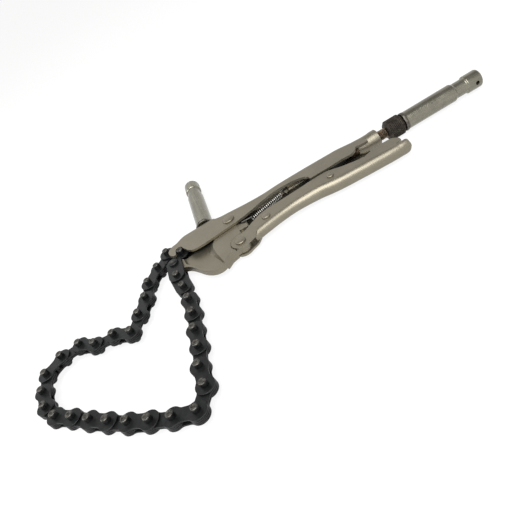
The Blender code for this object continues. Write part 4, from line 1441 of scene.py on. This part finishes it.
@dataclass
class RivetHead:
    """A low domed rivet head, the same on both sides of the stack."""

    node: str
    body: str
    centre: Plan
    radius: float
    seat: float
    top: float
    shank_share: float = 0.62
    flank_share: float = 0.45
    crown: float = 0.8

    def dress(self, recipe: Recipe, finish: bpy.types.Material, slot: Slot) -> None:
        """Publishes the rivet.

        Args:
            recipe: the tree that sets a head on each side.
            finish: its material.
            slot: the record's slot for it.
        """
        rise, shank = self.top - self.seat, self.radius * self.shank_share
        dome = 1 - self.flank_share
        points = [(-self.seat, 0), (-self.seat, shank), (0, shank), (0, self.radius)]
        points += [(rise * (self.flank_share + dome * math.sin(a)), self.radius * math.cos(a) ** self.crown)
                   for a in np.radians(np.linspace(0, 82, 9))]
        head = Solid.turned([*points, (rise, 0)], 48, Matrix())
        made = recipe.made(empty_carrier(), {"Head": head.object, "Seat": self.seat, "Finish": finish})
        head.drop()
        made.object.data.transform(Matrix.Translation((*self.centre, 0)))
        made.publish(self.node + "_head", self.body, finish, self.node, slot)


@dataclass
class AdjustingScrew:
    """The threaded rod and the knurled knob that turns it.

    The knob's rounding is distances from each end, and how far its skin lies inside its radius there.
    A tooth's root and top are shares of its half width and heights over the knob's radius.
    """

    tip: float = 121.3
    face: float = 158.5
    crest: float = 4.75
    depth: float = 0.75
    pitch: float = 1.5875
    steps_in_turn: int = 8
    rod_sides: int = 36
    tip_chamfer: float = 0.9
    knob_start: float = 158.65
    knob_length: float = 16.5
    knob_radius: float = 9.25
    knob_round: Rows = ((0, 2.4), (0.5, 1.3), (1.3, 0.5), (2.3, 0))
    knurl_height: float = 0.7
    knurl_margin: float = 2.5
    tooth_half: float = 0.82
    tooth_narrow: float = 0.9
    tooth_levels: Rows = ((1.15, -0.12), (0.3, 0.68))
    columns: int = 34
    rows: int = 9

    def rod(self) -> Solid:
        """Lofts the rod with one thread round it.

        Returns:
            The threaded rod.
        """
        run, rings = self.face - self.tip, []
        count = math.ceil(run / self.pitch * self.steps_in_turn)
        for i in range(count + 1):
            x = self.tip + run * i / count
            most = self.crest - self.tip_chamfer + (x - self.tip) * self.tip_chamfer
            ring = []
            for j in range(self.rod_sides):
                turn = 2 * math.pi * j / self.rod_sides
                phase = (x / self.pitch - j / self.rod_sides) % 1
                radius = min(self.crest - self.depth * (1 - abs(2 * phase - 1)), most)
                ring.append((x, SCREW_LINE + radius * math.cos(turn), radius * math.sin(turn)))
            rings.append(ring)
        return Solid.loft(rings)

    def tooth(self) -> Solid:
        """Makes one tooth of the knurl, a low pyramid on four corners.

        Returns:
            The tooth.
        """
        corners = ((-1, 0), (0, -1), (1, 0), (0, 1))
        rings = []
        for share, height in self.tooth_levels:
            wide = self.tooth_half * share
            rings.append([(x * wide, y * wide * self.tooth_narrow, height) for x, y in corners])
        return Solid.loft(rings)

    def knob(self, recipe: Recipe, finish: bpy.types.Material) -> Solid:
        """The knob with its knurl.

        Args:
            recipe: the knurl's tree.
            finish: the knob's material.

        Returns:
            The solid.
        """
        base, end = self.knob_radius - self.knurl_height, self.knob_length
        profile = [(0, 0), *[(x, base - low) for x, low in self.knob_round]]
        profile += [(end - x, base - low) for x, low in reversed(self.knob_round)] + [(end, 0)]
        body = Solid.turned(profile, 72, Along.HANDLE.place(self.knob_start, SCREW_LINE))
        tooth = self.tooth()
        teeth = recipe.made(empty_carrier(), {
            "Tooth": tooth.object, "Radius": base, "Columns": self.columns, "Rows": self.rows,
            "Start": self.knob_start + self.knurl_margin,
            "Row Pitch": (end - 2 * self.knurl_margin) / (self.rows - 1), "Finish": finish,
        })
        tooth.drop()
        teeth.object.data.transform(Matrix.Translation((0, SCREW_LINE, 0)))
        bm = bmesh.new()
        for part in (body, teeth):
            bm.from_mesh(part.object.data)
            part.drop()
        return Solid(bm)

    def dress(self, recipe: Recipe, finishes: Finishes) -> None:
        """Publishes the rod and the knob.

        Args:
            recipe: the knurl's tree.
            finishes: the shared finishes.
        """
        self.rod().publish("threaded_rod", "screw", finishes.thread, "adjusting_screw", Slot.DARK)
        knob = self.knob(recipe, finishes.knob)
        knob.publish("knurled_knob", "knob", finishes.knob, "screw_knob", Slot.DARK, sharp_deg=25.0)


@dataclass
class ReturnSpring:
    """The extension spring between the jaw's ear and the lug in the handle."""

    wire: float = 0.55
    coil: float = 2.2
    curls: int = 18
    steps_in_curl: int = 18
    start: float = 0.2
    end: float = 0.87
    tail: float = 1.1
    ear_reach: float = 4.95
    lug_reach: float = 2.85

    def path(self) -> list[Vector]:
        """Winds the coils between the two eyes.

        Returns:
            The wire's centre line.
        """
        ear, eye, up = Vector((*SPRING_EAR, 0)), Vector((*SPRING_EYE, 0)), Vector((0, 0, 1))
        run = eye - ear
        across = Vector((-run.y, run.x, 0)).normalized()
        near, far = self.ear_reach, self.lug_reach
        points = [ear - up * (near + self.tail), ear - up * near, ear + up * near]
        total = self.curls * self.steps_in_curl
        for step in range(total + 1):
            turn = 2 * math.pi * step / self.steps_in_curl
            share = self.start + (self.end - self.start) * step / total
            points.append(ear + run * share + self.coil * (up * math.cos(turn) + across * math.sin(turn)))
        return points + [eye + up * far, eye - up * far, eye - up * (far + self.tail)]

    def dress(self, recipe: Recipe, finishes: Finishes) -> None:
        """Publishes the spring, which stretches between the handle and the jaw.

        Args:
            recipe: the wire's tree.
            finishes: the shared finishes.
        """
        points = self.path()
        mesh = bpy.data.meshes.new("path")
        mesh.from_pydata(points, [(i, i + 1) for i in range(len(points) - 1)], [])
        line = shown(bpy.data.objects.new("path", mesh))
        wire = recipe.made(line, {"Radius": self.wire, "Sides": 10, "Finish": finishes.wire})
        made = wire.publish("spring_coil", "fixed_handle", finishes.wire, "return_spring", Slot.WIRE)
        made.parent = None
        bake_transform(made)


class LinkKind(Enum):
    """The kinds of chain link: half heights of the plates, whether waisted, and which ends carry pins."""

    ANCHOR = (3.4, 4.7, False, (1,))
    STRAIGHT = (1.8, 3.1, False, (1,))
    INNER = (0.2, 1.5, True, ())
    OUTER = (1.8, 3.1, True, (0, 1))

    @property
    def inside(self) -> float:
        """Half height of the plates' inner faces."""
        return self.value[0]

    @property
    def outside(self) -> float:
        """Half height of the plates' outer faces."""
        return self.value[1]

    @property
    def waisted(self) -> bool:
        """Whether the plates are drawn in at the middle."""
        return self.value[2]

    @property
    def pins(self) -> tuple[int, ...]:
        """Ends that carry a pin, 0 for the first and 1 for the second."""
        return self.value[3]

    @classmethod
    def of(cls, number: int) -> LinkKind:
        """Finds a link's kind.

        Args:
            number: its number, counted from 1 at the jaw's tip.

        Returns:
            The kind.
        """
        if number <= 2:
            return (cls.ANCHOR, cls.STRAIGHT)[number - 1]
        return cls.INNER if number % 2 else cls.OUTER


@dataclass
class PinChain:
    """Thirty links of plate chain whose pins stand out on both sides.

    A waisted plate leaves its end arcs at an angle from its own length, and is the waist wide each way.
    """

    pitch: float = 17.5
    end_radius: float = 7.3
    waist: float = 5.2
    waist_deg: int = 56
    plate_rim: float = 0.3
    pin_radius: float = 3.0
    pin_half: float = 7.6
    pin_end: Rows = (
        (1.0, 0), (0.6, 0.08), (0.25, 0.3), (0.05, 0.65), (0, 0.95), (0.06, 1.3), (0.3, 1.75), (0.36, 3.0),
    )

    def outline(self, waisted: bool) -> list[Plan]:
        """The plate's outline from its first pin to its second along +X.

        Args:
            waisted: whether its sides are drawn in.

        Returns:
            The outline.
        """
        spread = self.waist_deg if waisted else 90
        near = arc((0, 0), self.end_radius, spread, 360 - spread, 20)
        far = arc((self.pitch, 0), self.end_radius, spread - 180, 180 - spread, 20)
        if not waisted:
            return near + far
        x0, y0 = near[0]
        slope = -1 / math.tan(math.radians(spread))
        side = []
        width = self.pitch / 2 - x0
        for s in np.linspace(0, 1, 6)[1:]:
            y = y0 * (1 - smooth(s)) + slope * width * (s**3 - 2 * s**2 + s) + self.waist * smooth(s)
            side.append((x0 + width * s, y))
        half = side + [(self.pitch - x, y) for x, y in reversed(side[:-1])]
        return near + [(x, -y) for x, y in half] + far + list(reversed(half))

    def plate(self, kind: LinkKind) -> Solid:
        """Makes one plate, centred on its own middle height.

        Args:
            kind: the kind of link.

        Returns:
            The plate.
        """
        outline = self.outline(kind.waisted)
        x, y = np.array(outline).T
        if np.sum(x * np.roll(y, -1) - y * np.roll(x, -1)) < 0:
            outline.reverse()
        half = (kind.outside - kind.inside) / 2
        return Solid.slab(outline, -half, half, self.plate_rim, 3)

    def pin(self) -> Solid:
        """Returns one pin with rolled ends and a shallow dimple in each."""
        upper = [(self.pin_half - sunk, self.pin_radius - inward) for sunk, inward in self.pin_end]
        return Solid.turned([(-along, radius) for along, radius in reversed(upper)] + upper, 26, Matrix())

    def places(self, frame: dict) -> list[tuple[str, Vector, float]]:
        """Where each link lies, from the frame's hinges and the hook.

        Args:
            frame: the loaded frame.

        Returns:
            Each link's node, its first pin in millimetres and its heading in radians.
        """
        record = frame["record"]
        pins = {}
        for joint in record["behaviour"]["joints"]:
            if joint["child"].startswith("chain_link_"):
                pins[joint["child"]] = Vector(joint["pos_m"][:2]) / MM
        names = sorted(pins)
        hook = next(mount for mount in record["mounts"] if mount["name"] == "hook_notch")
        line = [pins[name] for name in names] + [Vector(hook["pos_m"][:2]) / MM]
        return [(name, a, math.atan2(b.y - a.y, b.x - a.x)) for name, a, b in zip(names, line, line[1:])]

    def mesh(self, kind: LinkKind, recipe: Recipe, finish: bpy.types.Material) -> bpy.types.Mesh:
        """The mesh of one kind of link, from its first pin along +X.

        Args:
            kind: the kind of link.
            recipe: the link's tree.
            finish: its material.

        Returns:
            The mesh.
        """
        plate, pin = self.plate(kind), self.pin()
        made = recipe.made(empty_carrier(), {
            "Plate": plate.object, "Pin": pin.object, "Plate Height": (kind.inside + kind.outside) / 2,
            "Pin Count": len(kind.pins), "First Pin": 0.0 if 0 in kind.pins else self.pitch,
            "Pitch": self.pitch, "Finish": finish,
        })
        mesh = made.object.data
        for part in (plate, pin, made):
            part.drop()
        return mesh

    def dress(self, frame: dict, recipe: Recipe, finishes: Finishes) -> None:
        """Publishes every link.

        Args:
            frame: the loaded frame.
            recipe: the link's tree.
            finishes: the shared finishes.
        """
        meshes = {kind: self.mesh(kind, recipe, finishes.black) for kind in LinkKind}
        for number, (node, place, heading) in enumerate(self.places(frame), 1):
            bm = bmesh.new()
            bm.from_mesh(meshes[LinkKind.of(number)])
            bm.transform(Matrix.Translation((*place, 0)) @ Matrix.Rotation(heading, 4, "Z"))
            Solid(bm).publish(f"pin_link_{number:02d}", node, finishes.black, node, Slot.BLACK)


@dataclass
class Studio:
    """The camera, the pale floor and the soft light. Lengths are in metres and lamps in watts."""

    eye: Point = (0.01045, -0.36847, 0.24108)
    forward: Point = (-0.0140, 0.8021, -0.5970)
    upward: Point = (0.5136, 0.5181, 0.6840)
    lens: float = 34.51
    sensor: float = 36.0
    nearest: float = 0.01
    floor_size: float = 60.0
    floor_tones: tuple[Colour, Colour] = ((0.93, 0.93, 0.93), (0.95, 0.95, 0.95))
    floor_glow: float = 0.86
    sky_heights: Plan = (0.5, 0.9)
    sky_top: float = 0.22
    sky_light: float = 0.6
    sky_tone: tuple[float, ...] = (1.0, 0.99, 0.97, 1)
    white: tuple[float, ...] = (1, 1, 1, 1)
    aim: Point = (0.03, -0.02, 0)
    lamps: tuple[tuple[str, Point, float, float], ...] = (
        ("front_softbox", (-0.1, -0.75, 1.3), 1.5, 36.0),
        ("back_softbox", (-0.3, 1.3, 1.1), 0.9, 1.0),
        ("side_softbox", (-1.2, 0.1, 0.8), 0.6, 4.0),
    )

    def camera(self) -> None:
        """Sets the camera at the photograph's place."""
        data = bpy.data.cameras.new("camera")
        data.lens = self.lens
        data.sensor_width = self.sensor
        data.clip_start = self.nearest
        made = shown(bpy.data.objects.new("camera", data))
        back, up = -Vector(self.forward).normalized(), Vector(self.upward).normalized()
        right = up.cross(back).normalized()
        turn = Matrix((right, up, back)).transposed().to_4x4()
        made.matrix_world = Matrix.Translation(self.eye) @ turn
        bpy.context.scene.camera = made

    def floor(self) -> None:
        """Lays a pale floor under the tool."""
        half = self.floor_size / 2
        corners = [(-half, -half, 0), (half, -half, 0), (half, half, 0), (-half, half, 0)]
        mesh = bpy.data.meshes.new("floor")
        mesh.from_pydata(corners, [], [(0, 1, 2, 3)])
        mesh.materials.append(self.floor_material())
        shown(bpy.data.objects.new("floor", mesh))

    def floor_material(self) -> bpy.types.Material:
        """Makes a pale matte floor that eyes and mirrors see almost white, shadow and all.

        Returns:
            The material.
        """
        sheet = Sheet("pale_floor")
        colour = sheet.mix(sheet.noise(3.0, 2.0, 0.5), *self.floor_tones)
        glow = sheet.add("ShaderNodeEmission", {}, {"Color": self.white, "Strength": 1.0})
        values = {0: sheet.seen() * self.floor_glow, 1: sheet.skin(colour, 0.9, 0.0), 2: glow}
        return sheet.finished(sheet.add("ShaderNodeMixShader", {}, values))

    def lights(self) -> None:
        """Adds the soft lamps."""
        for name, place, size, power in self.lamps:
            data = bpy.data.lights.new(name, "AREA")
            data.shape = "DISK"
            data.size = size
            data.energy = power
            made = shown(bpy.data.objects.new(name, data))
            made.location = place
            made.rotation_euler = (Vector(self.aim) - Vector(place)).to_track_quat("-Z", "Y").to_euler()

    def world(self) -> None:
        """Gives eyes and mirrors white surroundings that dim overhead, and plain light to the rest."""
        world = bpy.data.worlds.new("surroundings")
        world.use_nodes = True
        tree = Tree(world.node_tree)
        where = tree.add("ShaderNodeTexCoord", {}, {}, "Generated")
        height = tree.add("ShaderNodeSeparateXYZ", {}, {0: where}, 2)
        low, high = self.sky_heights
        values = {0: height, 1: low, 2: high, 3: 1.0, 4: self.sky_top}
        fade = tree.add("ShaderNodeMapRange", {"interpolation_type": "SMOOTHSTEP"}, values)
        plain, bright = (
            tree.add("ShaderNodeBackground", {}, {"Color": tone, "Strength": strength})
            for tone, strength in ((self.sky_tone, self.sky_light), (self.white, fade))
        )
        both = tree.add("ShaderNodeMixShader", {}, {0: tree.seen(), 1: plain, 2: bright})
        tree.end("ShaderNodeOutputWorld", both)
        bpy.context.scene.world = world

    def build(self) -> None:
        """Builds all of it."""
        self.camera()
        self.floor()
        self.lights()
        self.world()
        bpy.context.scene.view_settings.view_transform = "Standard"


def main() -> None:
    """Loads the frame and builds every piece over it."""
    logging.basicConfig(level=logging.INFO, format="%(name)s %(message)s")
    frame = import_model()
    finishes = Finishes.build()
    Studio().build()
    FoldedHandle().dress(finishes)
    JawForging().dress(finishes)
    LeverGrip().dress(finishes)
    InnerLinkage().dress(finishes)
    rivets = rivet_recipe()
    for rivet in (
        RivetHead("jaw_pivot_rivet", "fixed_handle", JAW_PIVOT, 5.4, 7.5, 9.25),
        RivetHead("lever_pivot_rivet", "lever", LEVER_PIVOT, 4.7, 5.25, 6.9),
        RivetHead("toggle_rivet", "lever", TOGGLE_PIVOT, 3.9, 5.25, 6.9),
        RivetHead("release_rivet", "lever", RELEASE_PIVOT, 3.0, 6.5, 8.0),
    ):
        rivet.dress(rivets, finishes.nickel, Slot.NICKEL)
    anchor = RivetHead("chain_anchor_rivet", "lower_jaw", CHAIN_ANCHOR, 4.4, 4.9, 7.3)
    anchor.dress(rivets, finishes.black, Slot.BLACK)
    for stud in (
        GripStud("jaw_stud", "fixed_handle", 87.0, (-22.0, 19.32), Along.ACROSS, "Y", lean_deg=3.0),
        GripStud("end_stud", "knob", 77.0, (175.3, SCREW_LINE), Along.HANDLE, "X", weld_spread=0.8),
    ):
        stud.dress(finishes)
    AdjustingScrew().dress(knurl_recipe(), finishes)
    ReturnSpring().dress(wire_recipe(), finishes)
    PinChain().dress(frame, link_recipe(), finishes)


if __name__ == "__main__":
    main()
